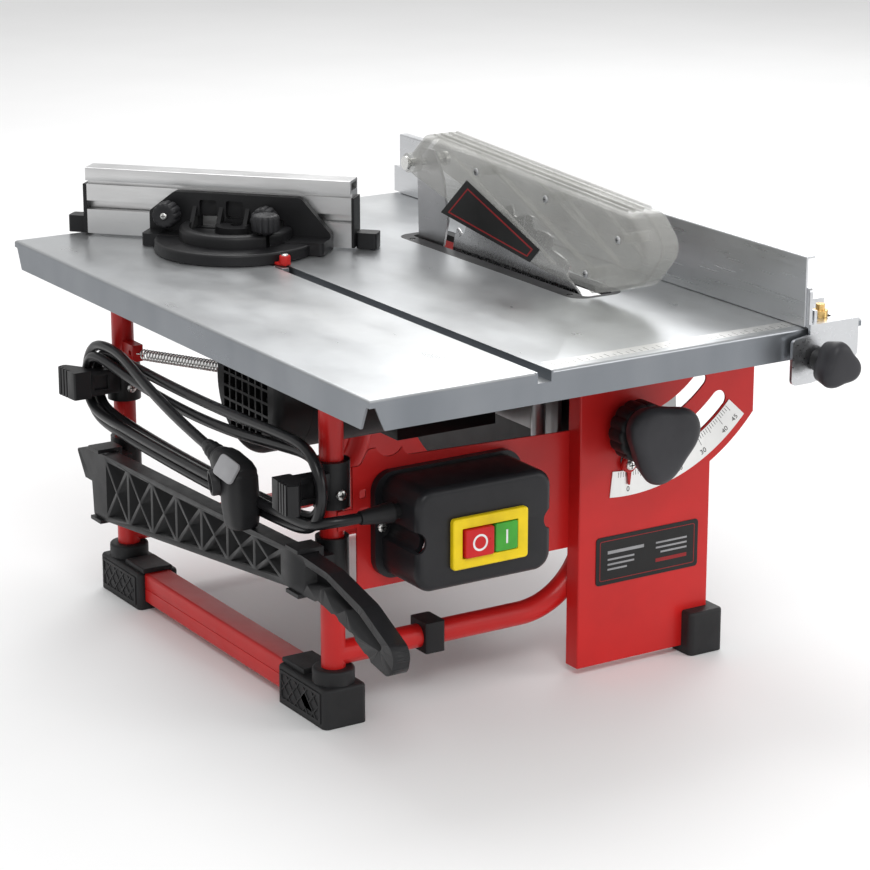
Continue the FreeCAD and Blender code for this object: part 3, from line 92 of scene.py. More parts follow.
class Nodes:
    """A short way to write a node tree."""

    def __init__(self, name):
        self.material = bpy.data.materials.new(name)
        self.material.use_nodes = True
        self.tree = self.material.node_tree
        self.shader = self.tree.nodes["Principled BSDF"]
        self.output = self.tree.nodes["Material Output"]

    def add(self, kind, **values):
        """A node, with values for its sockets or, failing that, its settings."""
        node = self.tree.nodes.new(kind)
        for key, value in values.items():
            if key in node.inputs:
                node.inputs[key].default_value = value
            else:
                setattr(node, key, value)
        return node

    def join(self, a, b):
        self.tree.links.new(a, b)

    def place(self, stretch=(1, 1, 1)):
        """Object coordinates, scaled along each axis."""
        where = self.add("ShaderNodeTexCoord")
        mapping = self.add("ShaderNodeMapping")
        mapping.inputs["Scale"].default_value = stretch
        self.join(where.outputs["Object"], mapping.inputs["Vector"])
        return mapping.outputs["Vector"]

    def noise(self, scale, stretch=(1, 1, 1), detail=3.0, rough=0.55):
        texture = self.add("ShaderNodeTexNoise", Scale=scale, Detail=detail, Roughness=rough)
        self.join(self.place(stretch), texture.inputs["Vector"])
        return texture.outputs["Fac"]

    def ramp(self, factor, stops):
        """A colour ramp; a colour of one number is a grey."""
        node = self.add("ShaderNodeValToRGB")
        points = node.color_ramp.elements
        while len(points) < len(stops):
            points.new(0.5)
        for point, (position, colour) in zip(points, stops):
            point.position = position
            point.color = (*colour, 1) if len(colour) == 3 else (*grey(colour[0]), 1)
        self.join(factor, node.inputs["Fac"])
        return node.outputs["Color"]

    def bump(self, height, strength, distance):
        node = self.add("ShaderNodeBump", Strength=strength, Distance=distance)
        self.join(height, node.inputs["Height"])
        self.join(node.outputs["Normal"], self.shader.inputs["Normal"])

    def set(self, **values):
        for key, value in values.items():
            self.shader.inputs[key.replace("_", " ")].default_value = value


def grey(v):
    return (v, v, v)


def paint(name, colour, rough=0.36, coat=0.12, worn=0.05):
    """Powder coat: a fine orange peel, faint clouding and a clear gloss."""
    n = Nodes(name)
    dark = tuple(c * (1 - worn * 2.4) for c in colour)
    light = tuple(min(1, c * (1 + worn)) for c in colour)
    sheen = [(0.2, (rough * 0.85,)), (0.8, (rough * 1.2,))]
    n.join(n.ramp(n.noise(22), [(0.3, dark), (0.7, light)]), n.shader.inputs["Base Color"])
    n.join(n.ramp(n.noise(60), sheen), n.shader.inputs["Roughness"])
    n.bump(n.noise(900, detail=2), 0.10, 0.0004)
    n.set(Coat_Weight=coat, Coat_Roughness=0.12, Specular_IOR_Level=0.3)
    return n.material


def plastic(name, colour, rough=0.42, grain=0.22, coat=0.0):
    """Moulded plastic with a fine etched grain and slightly uneven sheen."""
    n = Nodes(name)
    dark = tuple(c * 0.82 for c in colour)
    light = tuple(min(1, c * 1.16) for c in colour)
    sheen = [(0.2, (rough * 0.85,)), (0.8, (rough * 1.18,))]
    n.join(n.ramp(n.noise(35), [(0.3, dark), (0.7, light)]), n.shader.inputs["Base Color"])
    n.join(n.ramp(n.noise(90), sheen), n.shader.inputs["Roughness"])
    n.bump(n.noise(1500, detail=2), grain, 0.0003)
    n.set(Coat_Weight=coat, Coat_Roughness=0.2, Specular_IOR_Level=0.30)
    return n.material


def metal(name, colour, rough=0.35, stretch=(1, 1, 1), streak=0.12, scale=220, cloud=0.10):
    """Bare metal; the stretch draws its fine noise out into brushing or extrusion lines."""
    n = Nodes(name)
    dark = tuple(c * (1 - cloud) for c in colour)
    light = tuple(min(1, c * (1 + cloud)) for c in colour)
    n.join(n.ramp(n.noise(14, detail=4), [(0.3, dark), (0.7, light)]), n.shader.inputs["Base Color"])
    lines = n.noise(scale, stretch, detail=4)
    n.join(n.ramp(lines, [(0.25, (rough * 0.8,)), (0.75, (rough * 1.3,))]), n.shader.inputs["Roughness"])
    n.bump(lines, streak, 0.0002)
    n.set(Metallic=1.0)
    return n.material


def zinc_table(name):
    """Galvanised sheet: soft spangle, clouded reflections and fine rolling marks; faces that don't point up,
    the folded flanks and undersides, get a much darker grey as painted shade.
    """
    n = Nodes(name)
    cloud_stops = [(0.30, (0.50, 0.515, 0.53)), (0.52, (0.585, 0.60, 0.61)), (0.72, (0.66, 0.67, 0.672))]
    cloud = n.ramp(n.noise(7, (1.0, 0.55, 1), detail=5, rough=0.6), cloud_stops)
    spangle = n.add("ShaderNodeTexVoronoi", Scale=120.0, feature="SMOOTH_F1")
    n.join(n.place(), spangle.inputs["Vector"])
    grains = n.ramp(spangle.outputs["Color"], [(0.0, (0.93,)), (1.0, (1.0,))])
    mottled = n.add("ShaderNodeMix", data_type="RGBA", blend_type="MULTIPLY")
    mottled.inputs[MIX_FACTOR].default_value = 0.8
    n.join(cloud, mottled.inputs[MIX_A])
    n.join(grains, mottled.inputs[MIX_B])
    # Painted shade: the normal's upward part keeps the sheet's colour for the top and gives a much darker
    # grey to the folded flanks and undersides.
    facing = n.add("ShaderNodeNewGeometry")
    split = n.add("ShaderNodeSeparateXYZ")
    n.join(facing.outputs["Normal"], split.inputs["Vector"])
    painted_flank_shade_stops = [(0.3, (0.20, 0.215, 0.235)), (0.7, (0.25, 0.265, 0.285))]
    top_and_painted_flank_shade = n.add("ShaderNodeMix", data_type="RGBA", blend_type="MIX")
    n.join(split.outputs["Z"], top_and_painted_flank_shade.inputs[MIX_FACTOR])
    n.join(n.ramp(n.noise(20, (1, 1, 0.3)), painted_flank_shade_stops), top_and_painted_flank_shade.inputs[MIX_A])
    n.join(mottled.outputs[MIX_RESULT], top_and_painted_flank_shade.inputs[MIX_B])
    n.join(top_and_painted_flank_shade.outputs[MIX_RESULT], n.shader.inputs["Base Color"])
    polish = n.ramp(n.noise(24, (1, 0.5, 1), detail=5), [(0.25, (0.24,)), (0.75, (0.42,))])
    n.join(polish, n.shader.inputs["Roughness"])
    n.bump(n.noise(500, (1, 0.15, 1), detail=2), 0.05, 0.0002)
    n.set(Metallic=0.9)
    return n.material


def smoky(name):
    """Clear guard plastic, a little grey, with moulding haze."""
    n = Nodes(name)
    haze_stops = [(0.3, (0.66, 0.66, 0.64)), (0.7, (0.76, 0.76, 0.74))]
    n.join(n.ramp(n.noise(30), haze_stops), n.shader.inputs["Base Color"])
    n.join(n.ramp(n.noise(80), [(0.2, (0.05,)), (0.8, (0.14,))]), n.shader.inputs["Roughness"])
    n.set(IOR=1.46, Specular_IOR_Level=0.5)
    clear = n.add("ShaderNodeBsdfTransparent")
    clear.inputs["Color"].default_value = (0.86, 0.86, 0.85, 1)
    edge = n.add("ShaderNodeLayerWeight", Blend=0.28)
    clearness = [(0.0, (0.86,)), (0.45, (0.70,)), (0.8, (0.40,)), (1.0, (0.15,))]
    mixed = n.add("ShaderNodeMixShader")
    n.join(n.ramp(edge.outputs["Facing"], clearness), mixed.inputs["Fac"])
    n.join(n.shader.outputs["BSDF"], mixed.inputs[1])
    n.join(clear.outputs["BSDF"], mixed.inputs[2])
    n.join(mixed.outputs["Shader"], n.output.inputs["Surface"])
    return n.material


M = {
    "table": zinc_table("table_zinc"),
    "red": paint("red_powder_coat", (0.560, 0.013, 0.012)),
    "red_plastic": plastic("red_moulded", (0.55, 0.018, 0.016), 0.35, 0.1),
    "black": plastic("black_moulded", (0.0105, 0.0105, 0.0115), 0.40),
    "box": plastic("black_box", (0.013, 0.013, 0.015), 0.36, 0.18),
    "soft_black": plastic("black_soft", (0.018, 0.018, 0.020), 0.46, 0.15),
    "satin_black": paint("black_paint", (0.010, 0.010, 0.011), 0.36, 0.1),
    "motor": plastic("motor_cover", (0.009, 0.009, 0.010), 0.40, 0.2),
    "motor_grey": metal("motor_castings", (0.20, 0.20, 0.21), 0.45, scale=500),
    "knob": plastic("knob_soft_grey", (0.030, 0.030, 0.034), 0.44, 0.12),
    "wheel": plastic("wheel_black", (0.011, 0.011, 0.012), 0.46, 0.15),
    "rubber": plastic("foot_rubber", (0.017, 0.017, 0.018), 0.55, 0.35),
    "cord": plastic("cord_rubber", (0.008, 0.008, 0.009), 0.30, 0.08, coat=0.15),
    "plug": plastic("plug_rubber", (0.012, 0.012, 0.013), 0.42, 0.2),
    "plug_grey": plastic("plug_grey", (0.30, 0.30, 0.31), 0.40, 0.12),
    "yellow": plastic("bezel_yellow", (0.80, 0.58, 0.006), 0.36, 0.08),
    "stop": plastic("button_red", (0.56, 0.010, 0.012), 0.30, 0.05),
    "start": plastic("button_green", (0.055, 0.36, 0.035), 0.30, 0.05),
    "white": plastic("print_white", (0.80, 0.80, 0.80), 0.45, 0.04),
    # Black print; the same black is also the painted shade in the screw heads' crosses.
    "ink_and_painted_shade": plastic("black_print_and_painted_shade", (0.010, 0.010, 0.010), 0.40, 0.04),
    "dark_red": plastic("print_dark_red", (0.26, 0.012, 0.014), 0.40, 0.04),
    "scale": metal("scale_silver", (0.74, 0.74, 0.73), 0.38, (1, 1, 0.04), 0.05, 300),
    "zinc": metal("bright_zinc", (0.72, 0.72, 0.70), 0.26, scale=400),
    "steel": metal("plain_steel", (0.46, 0.46, 0.47), 0.34, (1, 0.06, 1), scale=500),
    "cradle": metal("cradle_zinc", (0.38, 0.38, 0.38), 0.42, (1, 1, 0.2)),
    "knife": metal("knife_steel", (0.40, 0.40, 0.41), 0.30, (1, 0.08, 1), 0.10, 500),
    "blade": metal("blade_steel", (0.58, 0.58, 0.59), 0.24, (1, 1, 1), 0.08, 700),
    "iron": metal("stator_iron", (0.16, 0.14, 0.12), 0.60, (0.02, 1, 1)),
    "fence": metal("fence_aluminium", (0.62, 0.63, 0.645), 0.30, (1, 0.03, 1), 0.05, 500, 0.05),
    "mitre": metal("mitre_aluminium", (0.66, 0.66, 0.66), 0.33, (0.7, 0.7, 9), 0.10, 60, 0.05),
    "brass": metal("yellow_brass", (0.78, 0.52, 0.20), 0.26, scale=300),
    "guard": smoky("guard_smoky"),
}


# ---------------------------------------------------------------- mesh helpers
def new_object(name, mesh):
    obj = bpy.data.objects.new(name, mesh)
    bpy.context.scene.collection.objects.link(obj)
    return obj


def shade(obj, degrees=32):
    """Smooth shading, with the edges sharper than the angle kept crisp."""
    mesh = obj.data
    mesh.polygons.foreach_set("use_smooth", [True] * len(mesh.polygons))
    mesh.set_sharp_from_angle(angle=math.radians(degrees))


def bevel(obj, width, segments=2, degrees=32):
    """Rounds the edges sharper than the angle, as a modifier."""
    modifier = obj.modifiers.new("soft_edges", "BEVEL")
    modifier.width = width
    modifier.segments = segments
    modifier.limit_method = "ANGLE"
    modifier.angle_limit = math.radians(degrees)
    modifier.miter_outer = "MITER_ARC"
    modifier.harden_normals = True
    return obj


def finish_piece(obj, material, body, replaced=()):
    """Gives a piece its material, the body it rides on and the CAD nodes it stands for."""
    obj.data.materials.clear()
    obj.data.materials.append(M[material])
    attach(obj, body)
    if replaced:
        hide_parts(*replaced)
    return obj


def islands(bm):
    """The separate closed pieces of a mesh, as lists of faces."""
    left = set(bm.faces)
    found = []
    while left:
        seed = left.pop()
        piece = [seed]
        stack = [seed]
        while stack:
            for edge in stack.pop().edges:
                for face in edge.link_faces:
                    if face in left:
                        left.remove(face)
                        piece.append(face)
                        stack.append(face)
        found.append(piece)
    return found


def finer(node, material, width=0.5, segments=2, pick=None, name=None, degrees=32):
    """A welded copy of a CAD node's surface. With a width its flat faces are merged and its edges rounded."""
    bm = bmesh.new()
    bm.from_mesh(NODES[node].data)
    bmesh.ops.remove_doubles(bm, verts=bm.verts, dist=2e-6)
    if pick is not None:
        for piece in islands(bm):
            corners = {v for face in piece for v in face.verts}
            middle = sum((v.co for v in corners), Vector()) / len(corners)
            if not pick(middle):
                bmesh.ops.delete(bm, geom=piece, context="FACES")
        loose = [v for v in bm.verts if not v.link_faces]
        bmesh.ops.delete(bm, geom=loose, context="VERTS")
    if width:
        bmesh.ops.dissolve_limit(bm, angle_limit=math.radians(0.6), verts=bm.verts, edges=bm.edges)
    mesh = bpy.data.meshes.new(name or node + "_piece")
    bm.to_mesh(mesh)
    bm.free()
    obj = new_object(name or node + "_piece", mesh)
    shade(obj, degrees)
    if width:
        bevel(obj, width / 1000, segments, degrees)
    return finish_piece(obj, material, BODY_OF[node], [node])


def from_faces(name, vertices, faces, material, body, width=0.0, smooth=32, replaced=()):
    """A piece from its corners and faces, with its normals turned outward."""
    mesh = bpy.data.meshes.new(name)
    mesh.from_pydata([tuple(v) for v in vertices], [], faces)
    bm = bmesh.new()
    bm.from_mesh(mesh)
    bmesh.ops.recalc_face_normals(bm, faces=bm.faces)
    bm.to_mesh(mesh)
    bm.free()
    obj = new_object(name, mesh)
    shade(obj, smooth)
    if width:
        bevel(obj, width / 1000)
    return finish_piece(obj, material, body, replaced)


def frame_axes(axis):
    """Two directions square to an axis."""
    axis = Vector(axis).normalized()
    side = Z.cross(axis)
    if side.length < 1e-6:
        side = X.copy()
    side.normalize()
    return axis, side, axis.cross(side)


def turned(name, centre, axis, profile, outline, material, body, around=72, replaced=(), smooth=40):
    """A closed solid of rings about an axis. The profile is (mm along the axis, scale) for each ring, and
    the outline gives the radius in mm at an angle."""
    axis, side, up = frame_axes(axis)
    vertices = []
    for along, scale in profile:
        for i in range(around):
            a = 2 * math.pi * i / around
            r = outline(a) * scale / 1000
            vertices.append(centre + axis * (along / 1000) + (side * math.cos(a) + up * math.sin(a)) * r)
    faces = [list(range(around))]
    for k in range(len(profile) - 1):
        for i in range(around):
            j = (i + 1) % around
            faces.append([k * around + i, k * around + j, (k + 1) * around + j, (k + 1) * around + i])
    last = (len(profile) - 1) * around
    faces.append([last + i for i in reversed(range(around))])
    return from_faces(name, vertices, faces, material, body, smooth=smooth, replaced=replaced)


def circle(radius):
    """A round outline."""
    return lambda a: radius


def lobes(radius, count, depth, turn=0.0):
    """A rounded polygon: the radius swells by the depth at each lobe."""
    return lambda a: radius + depth * math.cos(count * (a - turn))


def slab(name, points, centre, u, v, thickness, material, body, width=0.2, replaced=()):
    """A flat plate: a polygon in the plane of u and v, in mm, thickened along their normal."""
    u, v = Vector(u).normalized(), Vector(v).normalized()
    normal = u.cross(v)
    count = len(points)
    vertices = [centre + u * (a / 1000) + v * (b / 1000) for a, b in points]
    vertices += [p + normal * (thickness / 1000) for p in vertices]
    faces = [list(range(count))[::-1], [count + i for i in range(count)]]
    faces += [[i, (i + 1) % count, count + (i + 1) % count, count + i] for i in range(count)]
    return from_faces(name, vertices, faces, material, body, width, replaced=replaced)


def outline(name, points, inner, centre, u, v, thickness, material, body, slot):
    """A thin printed line: the band between two closed outlines with the same number of points, in mm."""
    u, v = Vector(u).normalized(), Vector(v).normalized()
    normal = u.cross(v)
    count = len(points)
    vertices = []
    for lift in (0, thickness):
        for loop in (points, inner):
            for a, b in loop:
                vertices.append(centre + u * (a / 1000) + v * (b / 1000) + normal * (lift / 1000))
    faces = []
    for i in range(count):
        j = (i + 1) % count
        low_inner, top_outer, top_inner = count, 2 * count, 3 * count
        faces.append([i, j, low_inner + j, low_inner + i])
        faces.append([top_inner + i, top_inner + j, top_outer + j, top_outer + i])
        faces.append([j, i, top_outer + i, top_outer + j])
        faces.append([low_inner + i, low_inner + j, top_inner + j, top_inner + i])
    return from_faces(name, vertices, faces, material, body)


def block(w, h, x=0.0, y=0.0):
    """The corners of a rectangle about a point, in mm."""
    return [(x - w / 2, y - h / 2), (x + w / 2, y - h / 2), (x + w / 2, y + h / 2), (x - w / 2, y + h / 2)]


def rounded(w, h, r, steps=6):
    """The points of a rounded rectangle about its centre, in mm."""
    points = []
    for cx, cy, first in ((w / 2 - r, h / 2 - r, 0), (r - w / 2, h / 2 - r, 90),
                          (r - w / 2, r - h / 2, 180), (w / 2 - r, r - h / 2, 270)):
        for i in range(steps + 1):
            a = math.radians(first + 90 * i / steps)
            points.append((cx + r * math.cos(a), cy + r * math.sin(a)))
    return points


def curve_piece(name, points, radius, material, body, kind="POLY", resolution=6):
    """An open round rod or cord along a list of points; the radius is in mm."""
    data = bpy.data.curves.new(name, "CURVE")
    data.dimensions = "3D"
    data.bevel_depth = radius / 1000
    data.bevel_resolution = 5
    data.use_fill_caps = True
    data.resolution_u = resolution
    spline = data.splines.new(kind)
    spline.points.add(len(points) - 1)
    for point, place in zip(spline.points, points):
        point.co = (*place, 1)
    if kind == "NURBS":
        spline.order_u = 3
        spline.use_endpoint_u = True
    obj = new_object(name, data)
    data.materials.append(M[material])
    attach(obj, body)
    return obj


def screw(name, centre, axis, radius, height, body, material="zinc"):
    """A pan head: domed, with its cross drawn on top as two thin black bars of painted shade."""
    profile = [(height * along, scale) for along, scale in
               ((0, 1), (0.35, 1), (0.7, 0.9), (0.92, 0.66), (1, 0.4), (1, 0.06))]
    head = turned(name, centre, axis, profile, circle(radius), material, body, 40)
    axis, side, up = frame_axes(axis)
    top = centre + axis * ((height + 0.02) / 1000)
    # Painted shade: two thin black bars on the dome stand in for the shade inside the cross.
    for i, (a, b) in enumerate(((side, up), (up, -side))):
        slab(f"{name}_painted_cross_shade_{i}", block(radius * 1.24, radius * 0.22), top, a, b, 0.06, "ink_and_painted_shade", body, 0)
    return head


def lettering(name, text, centre, size, u, v, material, body):
    """Dial figures as a thin mesh."""
    data = bpy.data.curves.new(name, "FONT")
    data.body = text
    data.size = size / 1000
    data.align_x = "CENTER"
    data.align_y = "CENTER"
    data.extrude = 0.00003
    source = bpy.data.objects.new(name + "_source", data)
    bpy.context.scene.collection.objects.link(source)
    bpy.context.view_layer.update()
    mesh = bpy.data.meshes.new_from_object(source.evaluated_get(bpy.context.evaluated_depsgraph_get()))
    bpy.data.objects.remove(source)
    u, v = Vector(u).normalized(), Vector(v).normalized()
    w = u.cross(v)
    mesh.transform(Matrix.Translation(centre) @ Matrix((u, v, w)).transposed().to_4x4())
    obj = new_object(name, mesh)
    return finish_piece(obj, material, body)


# ---------------------------------------------------------------- cord
CORD_R = 3.6
LEAD = [(51.8, 84, 147), (33.8, 84, 147), (18.2, 92.8, 144.5), (16.5, 106, 139.8)]
PLUG_RUN = [(18, 375, 192), (13, 342, 188), (9.5, 306, 181), (7.5, 270, 174), (7, 240, 168.5), (7, 220, 165)]
# The hooks the cord is wound round, and for each turn its distance from the left edge and its radius.
HANK_Y0, HANK_Y1, HANK_Z = 120.0, 401.5, 163.0
LANES = ((15.0, 22.0), (23.5, 22.5), (19.0, 29.5))
# How far each turn hangs below a straight line, on its lower and its upper strand.
LOWER_SAG = (2.0, 4.0, 3.0)
UPPER_SAG = (12.0, 4.0)


def cord_route():
    """The lead, then turns round both hooks, each in its own lane, and the last run to the plug."""
    route = list(LEAD)
    samples = (0.1, 0.3, 0.5, 0.7, 0.9)
    span = HANK_Y1 - HANK_Y0
    for turn, (x, r) in enumerate(LANES):
        for f in samples:
            sag = LOWER_SAG[turn] * 4 * f * (1 - f)
            route.append((x, HANK_Y0 + span * f, HANK_Z - r - sag))
        for f in samples:
            a = math.pi * (f - 0.5)
            route.append((x, HANK_Y1 + r * math.cos(a), HANK_Z + r * math.sin(a)))
        if turn == len(LANES) - 1:
            break
        next_x, next_r = LANES[turn + 1]
        for f in samples:
            sag = UPPER_SAG[turn] * 4 * f * (1 - f)
            route.append((x + (next_x - x) * f, HANK_Y1 - span * f, HANK_Z + r + (next_r - r) * f - sag))
        for f in samples:
            a = math.pi * (f + 0.5)
            route.append((next_x, HANK_Y0 + next_r * math.cos(a), HANK_Z + next_r * math.sin(a)))
    return [at(*p) for p in route + PLUG_RUN]


def make_cord():
    """The whole cord as one open spline."""
    cord = curve_piece("power_cord", cord_route(), CORD_R, "cord", "frame", "NURBS", 8)
    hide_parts("power_cord_lead", "power_cord_hank")
    return cord


def squarish(half, power=3.4):
    """A square outline with rounded corners, as a radius in mm."""
    return lambda a: half * (abs(math.cos(a)) ** power + abs(math.sin(a)) ** power) ** (-1 / power)


BOOT_RINGS = [(0, 0.50), (2, 0.56), (6, 0.60), (7, 0.68), (9, 0.68), (10, 0.62), (12, 0.66), (13, 0.76),
              (15, 0.76), (16, 0.70), (18, 0.76), (19, 0.88), (22, 1.0), (26, 1.12)]
HOUSING_RINGS = [(0, 0.62), (1.2, 0.80), (4, 0.92), (10, 1), (26, 1), (32, 0.90), (35, 0.72), (36, 0.4),
                 (36, 0.05)]
PLUG_RINGS = [(0, 0.80), (1.5, 0.95), (4, 1), (24, 1), (34, 0.90), (37, 0.80), (38.2, 0.62), (38.2, 0.05)]
COLLAR_RINGS = [(0, 1), (4.2, 1), (5.3, 0.93), (5.3, 0.74), (3.0, 0.70), (3.0, 0.05)]


def make_plug():
    """Angled mains plug: boot, dark housing, light panel, round face outward and a body hanging down."""
    boot = turned("mains_plug_boot", at(7.4, 222, 165.5), (-1, -26, -4.5), BOOT_RINGS, circle(8.6),
                  "plug", "frame", 48)
    housing = turned("mains_plug_housing", at(6.4, 201, 161.5), (-0.05, -44, -7), HOUSING_RINGS,
                     squarish(10.4, 2.8), "plug", "frame", 72)
    body = turned("mains_plug_body", at(5.6, 176, 160), (0, -0.10, -1), PLUG_RINGS,
                  squarish(11.2), "plug", "frame", 72, ["mains_plug"])
    collar = turned("mains_plug_collar", at(-3.4, 187.5, 151), (-1, 0.30, -0.1), COLLAR_RINGS, circle(8.8),
                    "plug", "frame", 48)
    panel = slab("mains_plug_panel", rounded(22, 14.5, 3.2), at(-4.4, 171.5, 163.5), (0.05, -1, -0.16),
                 (0.5, -0.1, 0.86), 2.4, "plug_grey", "frame", 0.7)
    return [body, collar, panel, boot, housing]


CORD = make_cord()
PLUG = make_plug()


# ---------------------------------------------------------------- the CAD shapes with rounded edges
for node, material, width in (
        ("table_top", "table", 0.5), ("table_insert", "satin_black", 0.3), ("front_cross_rail", "black", 0.4),
        ("front_tube_frame", "red", 0.3), ("rear_tube_frame", "red", 0.3), ("left_sill", "red", 0.4),
        ("left_feet", "rubber", 0.35), ("front_panel", "red", 0.35), ("rear_panel", "red", 0.35),
        ("right_feet", "rubber", 0.5), ("angle_scale", "scale", 0.1), ("tube_clip", "black", 0.5),
        ("front_cord_hook", "black", 0.5), ("rear_cord_hook", "black", 0.5),
        ("push_stick_clips", "black", 0.5),
        ("switch_panel", "red", 0.3), ("switch_box", "box", 0.5), ("switch_bezel", "yellow", 0.3),
        ("cord_strain_relief", "plug", 0.3),
        ("front_trunnion", "cradle", 0.25), ("rear_trunnion", "cradle", 0.25), ("cradle_rails", "steel", 0.3),
        ("guide_rods", "steel", 0.3), ("tilt_pointer", "red_plastic", 0.2), ("crank_shaft", "steel", 0.15),
        ("lift_screw", "steel", 0.15), ("motor_bracket", "cradle", 0.3), ("motor_housing", "motor", 0.5),
        ("fan_cover", "motor", 0), ("stator_core", "iron", 0.3), ("motor_bearings", "steel", 0.2),
        ("blade_housing", "black", 0.4), ("riving_knife", "knife", 0.2), ("guard_pivot_bolt", "zinc", 0.3),
        ("rotor_shaft", "steel", 0.2), ("cooling_fan", "black", 0.2), ("saw_blade", "blade", 0.08),
        ("blade_clamp", "steel", 0.3), ("fence_plate", "fence", 0.3),
        ("mitre_bar", "steel", 0.3), ("mitre_head", "black", 0.5), ("mitre_extrusion", "mitre", 0.25),
        ("mitre_end_caps", "black", 0.5), ("stop_button", "stop", 0.3), ("start_button", "start", 0.3),
        ("push_stick", "black", 0)):
    finer(node, material, width)

# ---------------------------------------------------------------- guard
for side in ("guard_left", "guard_right"):
    finer(side, "guard", 0.4)


def guard_label():
    """Plain black label on the guard's left face with a thin red line round it; its corners are (y, z)."""
    middle_y, middle_z = 250, 290
    centre = at(242.85, middle_y, middle_z)

    def seen_from_left(corners):
        return [(middle_y - y, z - middle_z) for y, z in corners]

    corners = seen_from_left([(274, 308), (308, 279), (194, 265), (182, 276)])
    outer = seen_from_left([(272.6, 302.6), (298.5, 280.6), (197, 268.2), (190, 274.8)])
    inner = seen_from_left([(272.4, 301.4), (295.8, 281.4), (197.6, 269.2), (192.4, 274.2)])
    slab("guard_label", corners, centre, -Y, Z, 0.3, "ink_and_painted_shade", "guard", 0)
    outline("guard_label_line", outer, inner, centre - X * 0.0003, -Y, Z, 0.06,
            "dark_red", "guard", "guard_clear")


guard_label()
for i, (y, z) in enumerate(((262, 316), (92, 300), (128, 270), (176, 312))):
    screw(f"guard_screw_{i}", at(243.1, y, z), -X, 2.6, 1.4, "guard", material="steel")


# ---------------------------------------------------------------- fence
FENCE_BOLT = at(346, 9.5, 0)


def is_fence_bolt(middle):
    """Whether a closed piece of the carrier is its brass bolt."""
    return abs(middle.x - FENCE_BOLT.x) < 0.004 and abs(middle.y - FENCE_BOLT.y) < 0.004


finer("fence_carrier", "fence", 0.35, pick=lambda middle: not is_fence_bolt(middle))
finer("fence_carrier", "brass", 0.25, name="fence_bolt", pick=is_fence_bolt)
for i, (y, z) in enumerate(((8, 264.5), (32, 264.5))):
    screw(f"fence_side_screw_{i}", at(328.6, y, z), X, 3.8, 2.2, "fence")


# ---------------------------------------------------------------- controls
def knob_profile(length, edge):
    """Rings along the axis, rounded at the far end by the edge radius."""
    rings = [(0, 0.80), (0.8, 0.86), (length - edge, 1.0)]
    for k in range(1, 7):
        a = math.radians(15 * k)
        rings.append((length - edge + edge * math.sin(a), 1.0 - 0.32 * (1 - math.cos(a))))
    rings += [(length + 0.3, 0.5), (length + 0.4, 0.05)]
    return rings


# The height knob, the lock wheel and the tilt scale share one centre line; the cradle turns about the pivot.
CRANK_X, CRANK_Z, PIVOT_Z = 258, 170, 253
POINTER_X, POINTER_Z = 257, 144.6
FENCE_KNOB_X, FENCE_KNOB_Z = 332, 230
WHEEL_RINGS = [(0, 0.90), (0.8, 0.985), (2, 1.0), (13.0, 1.0), (14.4, 0.975), (15.4, 0.92), (15.7, 0.80),
               (15.7, 0.42), (9, 0.40), (9, 0.36)]


def scalloped(radius, count, depth):
    """A round outline with shallow finger scallops."""
    return lambda a: radius + depth * abs(math.cos(count * a)) ** 0.6


turned("height_knob_piece", at(CRANK_X, 69, CRANK_Z), FRONT, knob_profile(18, 7),
       lobes(26.5, 3, 3.4, math.radians(20)), "knob", "crank", 96, ["height_knob"])
turned("height_knob_hub", at(CRANK_X, 75.5, CRANK_Z), FRONT, [(0, 1), (7, 1), (8, 0.9)], circle(9),
       "wheel", "crank", 40)
turned("tilt_lock_wheel_piece", at(CRANK_X, 92, CRANK_Z), FRONT, WHEEL_RINGS, scalloped(19.4, 7, 1.4),
       "wheel", "tilt_lock", 216, ["tilt_lock_wheel"], smooth=50)
turned("tilt_lock_washer", at(CRANK_X, 94.4, CRANK_Z), FRONT, [(0, 1), (1.6, 1), (1.9, 0.97)], circle(12.5),
       "zinc", "tilt_lock", 64)
turned("pointer_boss", at(POINTER_X, 95.4, POINTER_Z), FRONT, [(0, 1), (2.2, 1), (2.8, 0.9), (2.8, 0.05)],
       circle(5.6), "red_plastic", "tilt_cradle", 40)
screw("pointer_screw", at(POINTER_X, 92.7, POINTER_Z), FRONT, 3.6, 2.2, "tilt_cradle")

turned("fence_knob_piece", at(FENCE_KNOB_X, -17, FENCE_KNOB_Z), FRONT, knob_profile(17.5, 6),
       lobes(14.4, 3, 2.2, math.radians(100)), "knob", "fence_clamp", 96, ["fence_knob"])
turned("fence_knob_hub", at(FENCE_KNOB_X, -7.6, FENCE_KNOB_Z), FRONT, [(0, 0.9), (0.6, 1), (9, 1), (9.8, 1)],
       circle(8.2), "wheel", "fence_clamp", 48)
turned("fence_knob_screw", at(FENCE_KNOB_X, -0.6, FENCE_KNOB_Z), FRONT, [(0, 0.8), (0.6, 1), (7, 1)],
       circle(3), "zinc", "fence_clamp", 32)


# ---------------------------------------------------------------- tilt scale
TICK_R, FIGURE_R = 113.8, 126.4
LAST_TICK = 45
SCALE_FACE_Y = 96.17


def around_pivot(radius, degrees, y):
    """A point of the arc below the pivot, at an angle from straight down."""
    a = math.radians(degrees)
    return at(CRANK_X + radius * math.sin(a), y, PIVOT_Z - radius * math.cos(a))


